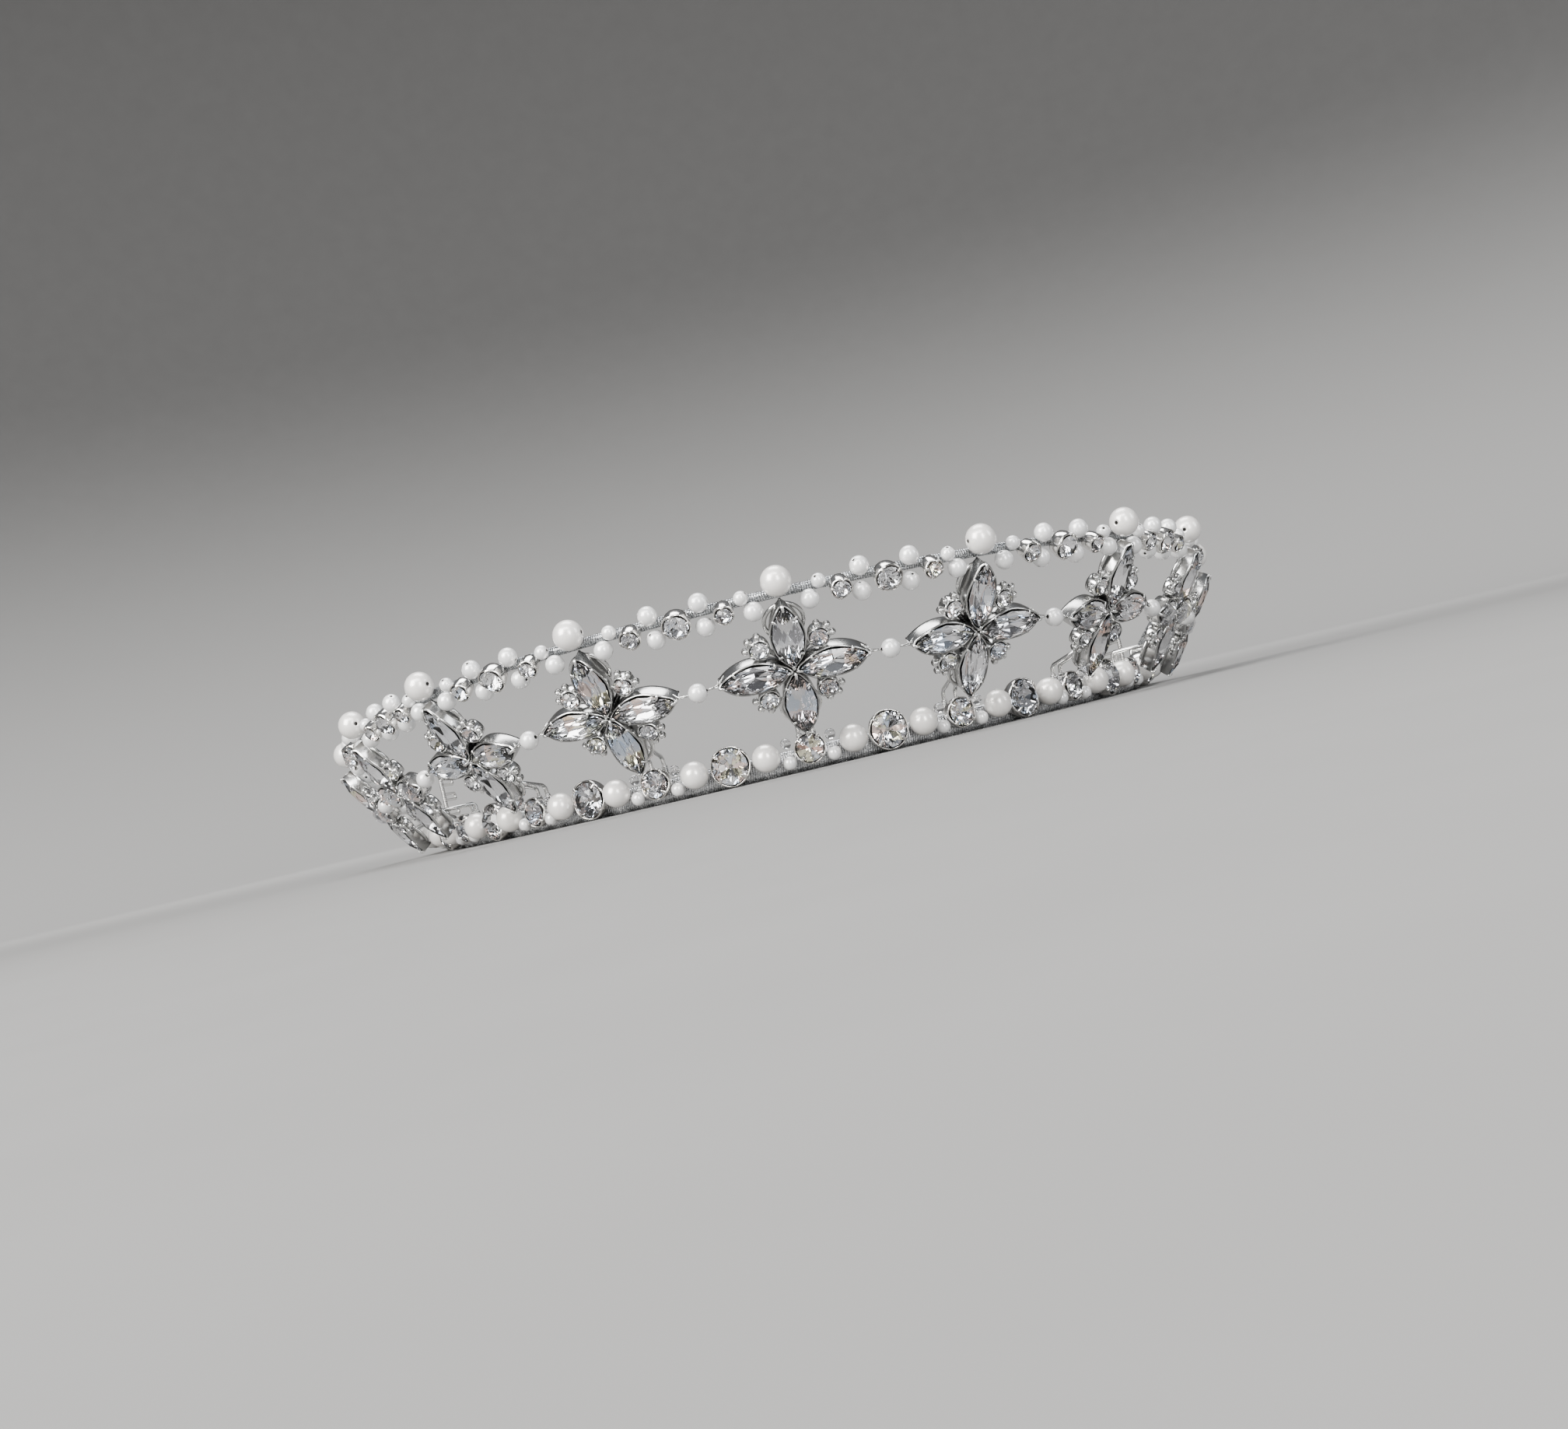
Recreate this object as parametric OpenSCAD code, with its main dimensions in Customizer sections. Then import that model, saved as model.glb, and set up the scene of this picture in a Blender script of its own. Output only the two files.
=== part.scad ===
// Kokoshnik tiara: nine rhinestone flowers in a wall that leans outward from a headband
// to a beaded rim wire. Millimetres, +Z up, the front towards -Y. It stands on the edge of its band.

/* [Headband] */
// Radius of the band round the front of the head
front_r = 78; // [77:0.5:79]
// Angle that the front arc turns through on each side
front_turn = 45; // [44:0.5:46]
// Radius of the band over the temples
temple_r = 105; // [102:1:108]
// Angle that the temple arc turns through
temple_turn = 27; // [26:0.5:28]
// Radius of the band over the ears
side_r = 250; // [240:5:260]
// Angle that the side arc turns through
side_turn = 9; // [8.5:0.25:9.5]
// Length along the band from the middle of the front to a tip
band_reach = 168; // [167:0.5:169]
// Width of the strip, measured up the head
band_w = 5; // [4.8:0.1:5.2]
// Thickness of the strip
band_t = 2; // [1.8:0.1:2]

/* [Wall] */
// Angle between the plane of the band and the wall
flare = 55; // [53:1:57]
// Distance along the band from one flower stem to the next
pitch = 32.4; // [32.2:0.1:32.6]
// Distance up the wall from the band to the middle of the front rim pearl
wall_h = 44.7; // [44.5:0.1:45.5]
// Share of that height lost at the end flowers, growing with the square of the distance
wall_drop = 0.2; // [0.18:0.01:0.2]
// Share lost there as well, growing with the fourth power of the distance
wall_sag = 0.06; // [0.04:0.01:0.06]

/* [Rim] */
// Diameter of the wire with its thread winding
rim_d = 2.2; // [1.8:0.1:2.2]
// Diameter of the large pearls over the flowers
rim_pearl_d = 6.3; // [6:0.1:6.3]
// Distance of a large pearl's middle above the wire
rim_pearl_rise = 3.9; // [3.9:0.1:4.1]
// Distance of a large pearl's middle in front of the wire
rim_pearl_out = 2.1; // [2.1:0.1:2.3]
// Place along the band where the rim wire comes down
rim_landing = 156; // [155.5:0.25:156.5]
// Diameter of the pearls that run down to the ends
tail_pearl_d = 3.2; // [2.8:0.1:3.2]

/* [Row on the band] */
// Diameter of the pearls in the row
row_pearl_d = 6; // [5.8:0.1:6]
// Diameter of the large round settings
big_cup_d = 8.5; // [8.2:0.1:8.5]
// Diameter of the settings under the flowers
stem_cup_d = 6.6; // [6.2:0.1:6.6]
// Diameter of the settings near the tips
end_cup_d = 6.4; // [6:0.1:6.4]
// Depth of a round setting
row_cup_h = 3.1; // [2.8:0.1:3.1]
// Height of the row's middle above the middle of the strip
row_rise = 2; // [1.9:0.1:2.1]
// Diameter of the seed pearls below, beside each stem
seed_pearl_d = 3; // [2.6:0.1:3]
// Diameter of the clear seeds above them
seed_clear_d = 2.3; // [2:0.1:2.3]

/* [Flowers] */
// Length of a petal setting
petal_l = 15.3; // [15:0.1:15.3]
// Width of a petal setting
petal_w = 7.2; // [7:0.1:7.2]
// Depth of a petal setting
petal_h = 3.6; // [3.2:0.1:3.6]
// Diameter of the round settings between the petals
bud_d = 4.6; // [4.2:0.1:4.6]
// Diameter of the metal dots round each bud
dot_d = 1.5; // [1.4:0.1:1.6]
// Diameter of the pearls that link two flowers
link_pearl_d = 4; // [3.6:0.1:4]

/* [Combs] */
// Number of looped teeth
teeth = 5; // [4:1:6]
// Distance between teeth
tooth_gap = 4.1; // [3.7:0.1:4.1]
// Length of a tooth along its curve
tooth_l = 36; // [32:1:38]
// Diameter of the tooth wire
tooth_d = 0.8; // [0.7:0.1:0.8]

/* [Hidden] */
$fn = 48;

deg = 180 / PI;
air = 0.12;              // gap left between neighbouring pieces
cup_wall = 0.4;          // metal of every setting
cup_floor = 0.7;
fit_gap = 0.06;          // gap between a stone and its setting
crown_share = 0.17;      // height of a stone's crown over its width
bead_hole_d = 0.8;
fine_wire_d = 0.4;
loop_wire_d = 0.9;
tooth_bend_r = 160;      // the teeth curve in towards the head
tooth_half = 0.8;        // half the distance between the two wires of a tooth
comb_at = 161;           // place of a comb's bar along the band
comb_bar_d = 1.2;

// Flowers from the middle one outwards, as [middle of the flower up the wall, distance in front of it, size]
flower_rows = [
  [24.9, 1.3, 1],
  [24.3, 1.3, 1],
  [23.0, 2.0, 1],
  [20.2, 3.2, 0.95],
  [16.8, 4.4, 0.85]
];
// Small rim pearls of one bay, as [share of the bay, height above the wire, distance in front, diameter]
rim_pearl_rows = [
  [0.135, -1.2, 3.05, 4],
  [0.190, 1.9, 2.1, 3],
  [0.390, 2.9, 1.5, 4],
  [0.390, -2.5, 2.2, 4],
  [0.634, 2.9, 1.5, 4],
  [0.634, -2.5, 2.2, 4],
  [0.827, 1.9, 2.1, 3],
  [0.870, -1.2, 3.05, 4]
];
// Rim settings of one bay, as [share of the bay, height above the wire, diameter]
rim_cup_rows = [
  [0.285, 0.0, 4.5],
  [0.512, 0.2, 5.9],
  [0.736, 0.1, 4.2]
];
// Size of the beads of the two end bays, where the rim is shorter
end_bay_size = 0.91;
// Pearls on the run down to each end, and the shares of that run where they start and stop
tail_pearls = 8;
tail_from = 0.13;
tail_to = 0.77;

// Lengths along the band where its arcs meet, and where the last flower stands
front_end = front_r * front_turn / deg;
temple_end = front_end + temple_r * temple_turn / deg;
side_end = temple_end + side_r * side_turn / deg;
last_stem = 4 * pitch;
side_start_turn = front_turn + temple_turn;
tip_turn = side_start_turn + side_turn;
front_corner = front_r * [sin(front_turn), 1 - cos(front_turn)];
temple_corner = front_corner + arc_step(temple_r, front_turn, side_start_turn);
side_corner = temple_corner + arc_step(side_r, side_start_turn, tip_turn);

// Stems and settings of the row, as places along the band
stems = [for (k = [-4:4]) k * pitch];
bays = [for (k = [-4:3]) k * pitch];
pearl_shares = [0.272, 0.728];
seed_shares = [0.14, 0.86];
end_pearl_shares = [0.235, 0.70];
end_cup_shares = [0.47, 0.90];
row_pearls = concat(
  [-last_stem - end_pearl_shares[1] * pitch, -last_stem - end_pearl_shares[0] * pitch],
  [for (b = bays) for (share = pearl_shares) b + share * pitch],
  [last_stem + end_pearl_shares[0] * pitch, last_stem + end_pearl_shares[1] * pitch]
);
end_cups = [for (side = [-1, 1]) for (share = end_cup_shares) side * (last_stem + share * pitch)];
seat = band_t / 2 + air;  // where a setting's back stands in front of the strip's middle

// The combs reach up from just above the strip's lower edge
strip_core = band_w / 2 - band_t / 2;
comb_half = (teeth - 1) / 2 * tooth_gap + tooth_half;
comb_rise = comb_half + tooth_d / 2 - band_w / 2 + air;
tooth_turn = tooth_l / tooth_bend_r * deg;

// The tiara stands on its strip, with the origin under its middle
front_y = wall_point(0, wall_h, rim_pearl_out)[1] - rim_pearl_d / 2;
tooth_step = arc_step(tooth_bend_r, tip_turn, tip_turn + tooth_turn);
back_y = spot(comb_at)[1] + tooth_step[1] + tooth_half + tooth_d / 2;
middle_y = (front_y + back_y) / 2;

function arc_step(r, from, to) = r * [sin(to) - sin(from), cos(from) - cos(to)];

// Heading of the band at a length along it, and the point there
function heading(s) =
  let (a = abs(s))
  sign(s) * (
    a < front_end ? a / front_r * deg :
    a < temple_end ? front_turn + (a - front_end) / temple_r * deg :
    a < side_end ? side_start_turn + (a - temple_end) / side_r * deg :
    tip_turn
  );

function half_spot(a) =
  let (turn = heading(a))
  a < front_end ? front_r * [sin(turn), 1 - cos(turn)] :
  a < temple_end ? front_corner + arc_step(temple_r, front_turn, turn) :
  a < side_end ? temple_corner + arc_step(side_r, side_start_turn, turn) :
  side_corner + (a - side_end) * [cos(tip_turn), sin(tip_turn)];

function spot(s) = let (p = half_spot(abs(s))) [s < 0 ? -p[0] : p[0], p[1], 0];

function forward(s) = [cos(heading(s)), sin(heading(s)), 0];
function outward(s) = [sin(heading(s)), -cos(heading(s)), 0];

// A point given by how far it lies outside the strip's middle and above it
function band_point(s, out, up) = spot(s) + outward(s) * out + [0, 0, up];

// A point given by how far it lies up the wall and in front of it
function wall_point(s, h, lift) =
  band_point(s, h * cos(flare) + lift * sin(flare), h * sin(flare) - lift * cos(flare));

function pearl_line(s) =
  let (v = min(abs(s) / last_stem, 1))
  wall_h * (1 - wall_drop * v * v - wall_sag * pow(v, 4));
function wire_line(s) = pearl_line(s) - rim_pearl_rise;

// The rim wire follows the wall, then runs down from the last flower to the top of the strip
wire_end_up = band_w / 2 + rim_d / 2 + air;
function tail_share(s) = max(0, (abs(s) - last_stem) / (rim_landing - last_stem));
function rim_point(s) =
  let (t = tail_share(s), h = wire_line(s))
  band_point(s, h * cos(flare) * (1 - t), h * sin(flare) * (1 - t) + wire_end_up * t);

function bay_size(b) = abs(b + pitch / 2) > 3 * pitch ? end_bay_size : 1;
function flower_at(k) = (k - 5) * pitch;
function flower_row(k) = flower_rows[abs(k - 5)];
function petal_tip(k, side) =
  let (row = flower_row(k))
  wall_point(flower_at(k), row[0], row[1] + petal_h * 0.75 * row[2])
  + side * forward(flower_at(k)) * (petal_middle + petal_l / 2) * row[2];

// An almond outline is two arcs of this radius, their centres this far from its long axis
petal_r = (petal_l * petal_l + petal_w * petal_w) / (4 * petal_w);
petal_shift = petal_r - petal_w / 2;
petal_middle = petal_l / 2 + 0.35;
bud_middle = 8.6;

module settle() {
  translate([0, -middle_y, band_w / 2]) children();
}

// Children stand on the band with +X along it, +Y up and +Z outward
module on_band(s, out, up) {
  translate(spot(s)) rotate([0, 0, heading(s)]) rotate([90, 0, 0]) translate([0, up, out]) children();
}

// Children stand on the wall with +X along it, +Y up the wall and +Z to the front
module on_wall(s, h, lift) {
  translate(spot(s)) rotate([0, 0, heading(s)]) rotate([180 - flare, 0, 0])
    translate([0, h, lift]) children();
}

module rod(from, to, r) {
  run = to - from;
  translate(from) rotate([0, acos(run[2] / norm(run)), atan2(run[1], run[0])]) cylinder(h = norm(run), r = r);
}

// A closed skin over rings of points, one ring after the other
module skin(rings) {
  sides = len(rings[0]);
  last = len(rings) - 1;
  polyhedron(
    points = [for (one = rings) each one],
    faces = concat(
      [[for (i = [0:sides - 1]) i]],
      [
        for (j = [0:last - 1]) for (i = [0:sides - 1])
          let (a = j * sides + i, b = j * sides + (i + 1) % sides)
            each [[a, a + sides, b], [b, a + sides, b + sides]]
      ],
      [[for (i = [sides - 1:-1:0]) last * sides + i]]
    )
  );
}

// A round of points across a wire that runs in the direction along
function wire_ring(middle, along, r, sides) =
  let (side = cross(along, [0, 0, 1]), x = side / norm(side), y = cross(x, along) / norm(along))
  [for (i = [0:sides - 1]) middle + r * (cos(i * 360 / sides) * x + sin(i * 360 / sides) * y)];

// The strip's outline at a place along it, a flat with half-round edges
function strip_ring(s, edge_sides) = [
  for (end = [-1, 1]) for (i = [0:edge_sides])
    let (a = i * 180 / edge_sides)
      band_point(s, -end * cos(a) * band_t / 2, end * (strip_core + sin(a) * band_t / 2))
];

// A pearl with its hole along the height
module drilled_pearl(d) {
  rotate([90, 0, 0]) rotate_extrude() difference() {
    circle(d = d);
    translate([bead_hole_d / 2 - d, -d / 2]) square(d);
  }
}

module round_cup(d, h) {
  difference() {
    cylinder(h = h, d = d);
    translate([0, 0, cup_floor]) cylinder(h = h, d = d - 2 * cup_wall);
  }
}

module round_stone(d, h) {
  girdle = d / 2 - cup_wall - fit_gap;
  translate([0, 0, cup_floor + fit_gap]) cylinder(h = h - cup_floor - fit_gap, r = girdle);
  translate([0, 0, h]) cylinder(h = d * crown_share, r1 = girdle, r2 = girdle * 0.55);
}

module almond(inset, h, taper) {
  intersection() {
    translate([0, petal_shift, 0]) cylinder(h = h, r1 = petal_r - inset, r2 = petal_r - inset - taper);
    translate([0, -petal_shift, 0]) cylinder(h = h, r1 = petal_r - inset, r2 = petal_r - inset - taper);
  }
}

module petal_cup() {
  difference() {
    almond(0, petal_h, 0);
    translate([0, 0, cup_floor]) almond(cup_wall, petal_h, 0);
  }
}

module petal_stone() {
  inset = cup_wall + fit_gap;
  translate([0, 0, cup_floor + fit_gap]) almond(inset, petal_h - cup_floor - fit_gap, 0);
  translate([0, 0, petal_h]) almond(inset, petal_w * crown_share, petal_w * 0.22);
}

module wire_loop(r) {
  rotate_extrude() translate([r, 0]) circle(d = loop_wire_d);
}

// The soldered metal of a flower, without its legs
module flower_metal() {
  loop_r = 4;
  loop_middle = 10.1;
  plate_h = 0.5;
  for (a = [0:90:270]) rotate([0, 0, a]) translate([petal_middle, 0, 0]) petal_cup();
  for (a = [45:90:315]) rotate([0, 0, a]) {
    translate([bud_middle, 0, 0]) round_cup(bud_d, petal_h - 0.6);
    translate([0, -0.6, 0.1]) cube([bud_middle, 1.2, plate_h]);
    translate([bud_middle, 0, petal_h - 1.6]) for (b = [-45, 0, 45])
      rotate([0, 0, b]) translate([bud_d / 2 + 0.5, 0, 0]) sphere(d = dot_d);
  }
  translate([0, 0, 0.05]) cylinder(h = plate_h, r = 2.4);
  for (side = [-1, 1]) translate([0, side * loop_middle, 0.2]) wire_loop(loop_r);
}

// Two wires from the back of a flower's lower petal down to the top of the strip, behind the stem setting
module flower_legs(k) {
  s = flower_at(k);
  row = flower_row(k);
  half = 1.5;
  r = loop_wire_d / 2;
  for (side = [-1, 1]) {
    shift = side * half * forward(s);
    foot = band_point(s, 0.1, band_w / 2 + r + air) + shift;
    knee = band_point(s, 0.6, 7.2) + shift;
    top = wall_point(s, row[0] - 9.5 * row[2], row[1] + 0.2) + shift;
    rod(foot, knee, r);
    rod(knee, top, r);
    translate(knee) sphere(r = 1.2 * r);
  }
}

module base_band() {
  steps = 112;
  settle() color("silver") skin([for (i = [0:steps]) strip_ring(band_reach * (2 * i / steps - 1), 6)]);
}

module rim_wire() {
  steps = 120;
  sides = 8;
  route = [for (i = [-1:steps + 1]) rim_point(rim_landing * (2 * i / steps - 1))];
  settle() color("lightgray")
    skin([for (i = [1:steps + 1]) wire_ring(route[i], route[i + 1] - route[i - 1], rim_d / 2, sides)]);
}

// One tooth, a wire that goes out, turns round and comes back, drawn twelve-sided
module tooth() {
  for (side = [-1, 1]) translate([0, side * tooth_half, -tooth_bend_r])
    rotate([90, 0, 0]) rotate([0, 0, 90 - tooth_turn]) rotate_extrude(angle = tooth_turn)
      translate([tooth_bend_r, 0]) circle(d = tooth_d, $fn = 12);
  translate([0, 0, -tooth_bend_r]) rotate([0, tooth_turn, 0]) translate([0, 0, tooth_bend_r])
    rotate([0, 0, -90]) rotate_extrude(angle = 180)
      translate([tooth_half, 0]) circle(d = tooth_d, $fn = 12);
}

// A bar across the inside of the strip with looped teeth that point back and curve towards the head
module comb() {
  on_band(comb_at, -band_t / 2 - air - comb_bar_d / 2, comb_rise) {
    rotate([90, 0, 0]) cylinder(h = 2 * comb_half, d = comb_bar_d, center = true);
    for (i = [0:teeth - 1]) translate([0, (i - (teeth - 1) / 2) * tooth_gap, 0]) tooth();
  }
}

module comb_right() {
  settle() color("gainsboro") comb();
}

module comb_left() {
  settle() color("gainsboro") mirror([1, 0, 0]) comb();
}

module base_cups() {
  settle() color("gainsboro") {
    for (s = stems) on_band(s, seat, row_rise) round_cup(stem_cup_d, row_cup_h);
    for (s = bays) on_band(s + pitch / 2, seat, row_rise) round_cup(big_cup_d, row_cup_h);
    for (s = end_cups) on_band(s, seat, row_rise) round_cup(end_cup_d, row_cup_h);
  }
}

module base_crystals() {
  settle() color("white") {
    for (s = stems) on_band(s, seat, row_rise) round_stone(stem_cup_d, row_cup_h);
    for (s = bays) on_band(s + pitch / 2, seat, row_rise) round_stone(big_cup_d, row_cup_h);
    for (s = end_cups) on_band(s, seat, row_rise) round_stone(end_cup_d, row_cup_h);
  }
}

// Beside each stem a seed pearl below and a clear seed above
module base_seeds() {
  settle() color("ivory") for (b = bays) for (share = seed_shares) {
    on_band(b + share * pitch, seat + 2.3, row_rise - 2.1) sphere(d = seed_pearl_d);
    on_band(b + share * pitch, seat + 2.1, row_rise + 1.9) sphere(d = seed_clear_d);
  }
}

module rim_small_pearls() {
  settle() color("ivory") {
    for (b = bays) for (row = rim_pearl_rows) {
      s = b + row[0] * pitch;
      on_wall(s, wire_line(s) + row[1], row[2]) sphere(d = row[3] * bay_size(b));
    }
    for (side = [-1, 1]) for (i = [0:tail_pearls - 1]) {
      share = tail_from + (tail_to - tail_from) * i / (tail_pearls - 1);
      s = side * (last_stem + (rim_landing - last_stem) * share);
      front = outward(s) * sin(flare) - [0, 0, cos(flare)];
      translate(rim_point(s) + front * (rim_d / 2 + tail_pearl_d / 2 + air)) sphere(d = tail_pearl_d);
    }
  }
}

module rim_cups() {
  settle() color("gainsboro") for (b = bays) for (row = rim_cup_rows) {
    s = b + row[0] * pitch;
    on_wall(s, wire_line(s) + row[1], rim_d / 2 + air) round_cup(row[2] * bay_size(b), row_cup_h);
  }
}

module rim_crystals() {
  settle() color("white") for (b = bays) for (row = rim_cup_rows) {
    s = b + row[0] * pitch;
    on_wall(s, wire_line(s) + row[1], rim_d / 2 + air) round_stone(row[2] * bay_size(b), row_cup_h);
  }
}

module link_pearls() {
  settle() color("ivory") for (k = [1:8]) {
    from = petal_tip(k, 1);
    to = petal_tip(k + 1, -1);
    difference() {
      translate((from + to) / 2) sphere(d = link_pearl_d);
      rod(from, to, bead_hole_d / 2);
    }
  }
}

module link_wires() {
  settle() color("gainsboro") for (k = [1:8]) {
    from = petal_tip(k, 1);
    to = petal_tip(k + 1, -1);
    slack = air * (to - from) / norm(to - from);
    rod(from + slack, to - slack, fine_wire_d / 2);
  }
}

module flower_mount(k) {
  row = flower_row(k);
  settle() color("silver") {
    on_wall(flower_at(k), row[0], row[1]) scale(row[2]) flower_metal();
    flower_legs(k);
  }
}

module flower_stones(k) {
  row = flower_row(k);
  settle() color("white") on_wall(flower_at(k), row[0], row[1]) scale(row[2]) {
    for (a = [0:90:270]) rotate([0, 0, a]) translate([petal_middle, 0, 0]) petal_stone();
    for (a = [45:90:315]) rotate([0, 0, a]) translate([bud_middle, 0, 0]) round_stone(bud_d, petal_h - 0.6);
  }
}

module rim_pearl(k) {
  s = flower_at(k);
  settle() color("ivory")
    on_wall(s, pearl_line(s), rim_pearl_out) rotate([0, 0, 90]) drilled_pearl(rim_pearl_d);
}

module base_pearl(k) {
  settle() color("ivory")
    on_band(row_pearls[k - 1], seat + row_pearl_d / 2, row_rise) drilled_pearl(row_pearl_d);
}

base_band();
rim_wire();
comb_left();
comb_right();
base_cups();
base_crystals();
base_seeds();
rim_small_pearls();
rim_cups();
rim_crystals();
link_pearls();
link_wires();
for (k = [1:9]) {
  flower_mount(k);
  flower_stones(k);
  rim_pearl(k);
}
for (k = [1:20]) {
  base_pearl(k);
}
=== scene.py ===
import math
import random

import bpy
import numpy as np
from mathutils import Matrix, Vector


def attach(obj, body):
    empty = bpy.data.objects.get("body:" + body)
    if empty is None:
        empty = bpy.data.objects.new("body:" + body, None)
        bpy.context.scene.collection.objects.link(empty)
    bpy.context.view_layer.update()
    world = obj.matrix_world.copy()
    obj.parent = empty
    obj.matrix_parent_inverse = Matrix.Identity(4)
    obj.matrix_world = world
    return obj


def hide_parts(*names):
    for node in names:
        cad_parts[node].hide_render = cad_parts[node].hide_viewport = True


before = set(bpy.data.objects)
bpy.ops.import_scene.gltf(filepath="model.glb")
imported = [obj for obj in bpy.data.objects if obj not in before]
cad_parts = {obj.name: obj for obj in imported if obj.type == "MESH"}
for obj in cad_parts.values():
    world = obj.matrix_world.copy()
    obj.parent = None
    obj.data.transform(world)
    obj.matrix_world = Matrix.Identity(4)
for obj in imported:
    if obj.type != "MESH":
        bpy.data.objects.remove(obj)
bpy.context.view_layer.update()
dice = random.Random(11)
print("frame loaded,", len(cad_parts), "nodes")

# The layout that the CAD has, in millimetres and degrees; s is a distance along the band from its middle
tiara = {
    "arcs": [(78, 45), (105, 27), (250, 9)],   # radius and turn of the band's three arcs, from the middle out
    "reach": 168, "bandWidth": 5, "bandThick": 2,
    "flare": 55, "pitch": 32.4, "sideFlowers": 4, "wallHeight": 44.7, "wallDrop": 0.2, "wallSag": 0.06,
    "pearlRise": 3.9, "pearlOut": 2.1, "rimWire": 2.2, "rimPearl": 6.3, "rimLanding": 156,
    "seat": 1.12, "rowRise": 2.0,
    "combAt": 161, "combBar": 1.2, "teeth": 5, "toothGap": 4.1, "toothHalf": 0.8, "toothWire": 0.8,
    "toothLength": 36, "toothBend": 160,
    "air": 0.12,   # the gap between two pieces
}
millimetre = 0.001
flare = math.radians(tiara["flare"])
pitch = tiara["pitch"]
air, sideFlowers = tiara["air"], tiara["sideFlowers"]
stems = [k * pitch for k in range(-sideFlowers, sideFlowers + 1)]   # where the flowers stand
bays = stems[:-1]   # where each space between two flowers starts
lastStem = stems[-1]


def headingAndSpot(s):
    # along the three arcs, then straight on
    left, turn, x, y = abs(s), 0.0, 0.0, 0.0
    for radius, arcTurn in tiara["arcs"]:
        step = min(left / radius, math.radians(arcTurn))
        x += radius * (math.sin(turn + step) - math.sin(turn))
        y += radius * (math.cos(turn) - math.cos(turn + step))
        turn += step
        left -= step * radius
    x, y = x + left * math.cos(turn), y + left * math.sin(turn)
    return math.copysign(turn, s), Vector((math.copysign(x, s), y, 0))


def outward(turn):
    return Vector((math.sin(turn), -math.cos(turn), 0))


def onward(turn):
    return Vector((math.cos(turn), math.sin(turn), 0))


def facing(s):
    # the way that the wall of flowers faces
    return outward(headingAndSpot(s)[0]) * math.sin(flare) + Vector((0, 0, -math.cos(flare)))


def bandPoint(s, out, up):
    turn, spot = headingAndSpot(s)
    return spot + outward(turn) * out + Vector((0, 0, up))


def wallPoint(s, height, lift):
    out = height * math.cos(flare) + lift * math.sin(flare)
    return bandPoint(s, out, height * math.sin(flare) - lift * math.cos(flare))


def pearlLine(s):
    # how high up the wall the large rim pearls sit
    v = min(abs(s) / lastStem, 1)
    return tiara["wallHeight"] * (1 - tiara["wallDrop"] * v * v - tiara["wallSag"] * v ** 4)


def wireLine(s):
    return pearlLine(s) - tiara["pearlRise"]


def rimPoint(s):
    # past the last flower the rim wire comes down to the band
    t = max(0, (abs(s) - lastStem) / (tiara["rimLanding"] - lastStem))
    endUp = tiara["bandWidth"] / 2 + tiara["rimWire"] / 2 + air
    h = wireLine(s) * (1 - t)
    return bandPoint(s, h * math.cos(flare), h * math.sin(flare) + endUp * t)


def settleMatrix():
    # the tiara stands on the edge of its band, with the origin under its middle
    front = wallPoint(0, tiara["wallHeight"], tiara["pearlOut"]).y - tiara["rimPearl"] / 2
    turn, spot = headingAndSpot(tiara["combAt"])
    toothTurn = tiara["toothLength"] / tiara["toothBend"]
    tip = tiara["toothBend"] * (math.cos(turn) - math.cos(turn + toothTurn))
    back = spot.y + tip + tiara["toothHalf"] + tiara["toothWire"] / 2
    return Matrix.Scale(millimetre, 4) @ shift(0, -(front + back) / 2, tiara["bandWidth"] / 2)


def shift(x, y, z):
    return Matrix.Translation((x, y, z))


def turned(degrees, axis):
    return Matrix.Rotation(math.radians(degrees), 4, axis)


def spin(degrees):
    return turned(degrees, "Z")


settle = settleMatrix()


def standing(s, tilt):
    turn, spot = headingAndSpot(s)
    stand = Matrix.Translation(spot) @ Matrix.Rotation(turn, 4, "Z") @ Matrix.Rotation(tilt, 4, "X")
    return settle @ stand


def bandPlace(s, out, up):
    # x along the band, y up it, z outward
    return standing(s, math.pi / 2) @ shift(0, up, out)


def wallPlace(s, height, lift):
    # x along the band, y up the wall, z to the front
    return standing(s, math.pi - flare) @ shift(0, height, lift)


# Shader nodes
class Signal:
    # one output of a node, with arithmetic
    def __init__(self, finish, socket):
        self.finish, self.socket = finish, socket

    def maths(self, operation, a, b):
        return self.finish.node("ShaderNodeMath", {"operation": operation}, {0: a, 1: b})

    def __add__(self, other):
        return self.maths("ADD", self, other)

    def __sub__(self, other):
        return self.maths("SUBTRACT", self, other)

    def __rsub__(self, other):
        return self.maths("SUBTRACT", other, self)

    def __mul__(self, other):
        return self.maths("MULTIPLY", self, other)

    def __pow__(self, other):
        return self.maths("POWER", self, other)

    def __rpow__(self, other):
        return self.maths("POWER", other, self)

    __radd__, __rmul__ = __add__, __mul__


sockets = {
    "colour": "Base Color", "metal": "Metallic", "rough": "Roughness", "ior": "IOR", "normal": "Normal",
    "clear": "Transmission Weight", "coat": "Coat Weight", "coatRough": "Coat Roughness",
    "gloss": "Specular IOR Level",
}


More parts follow.
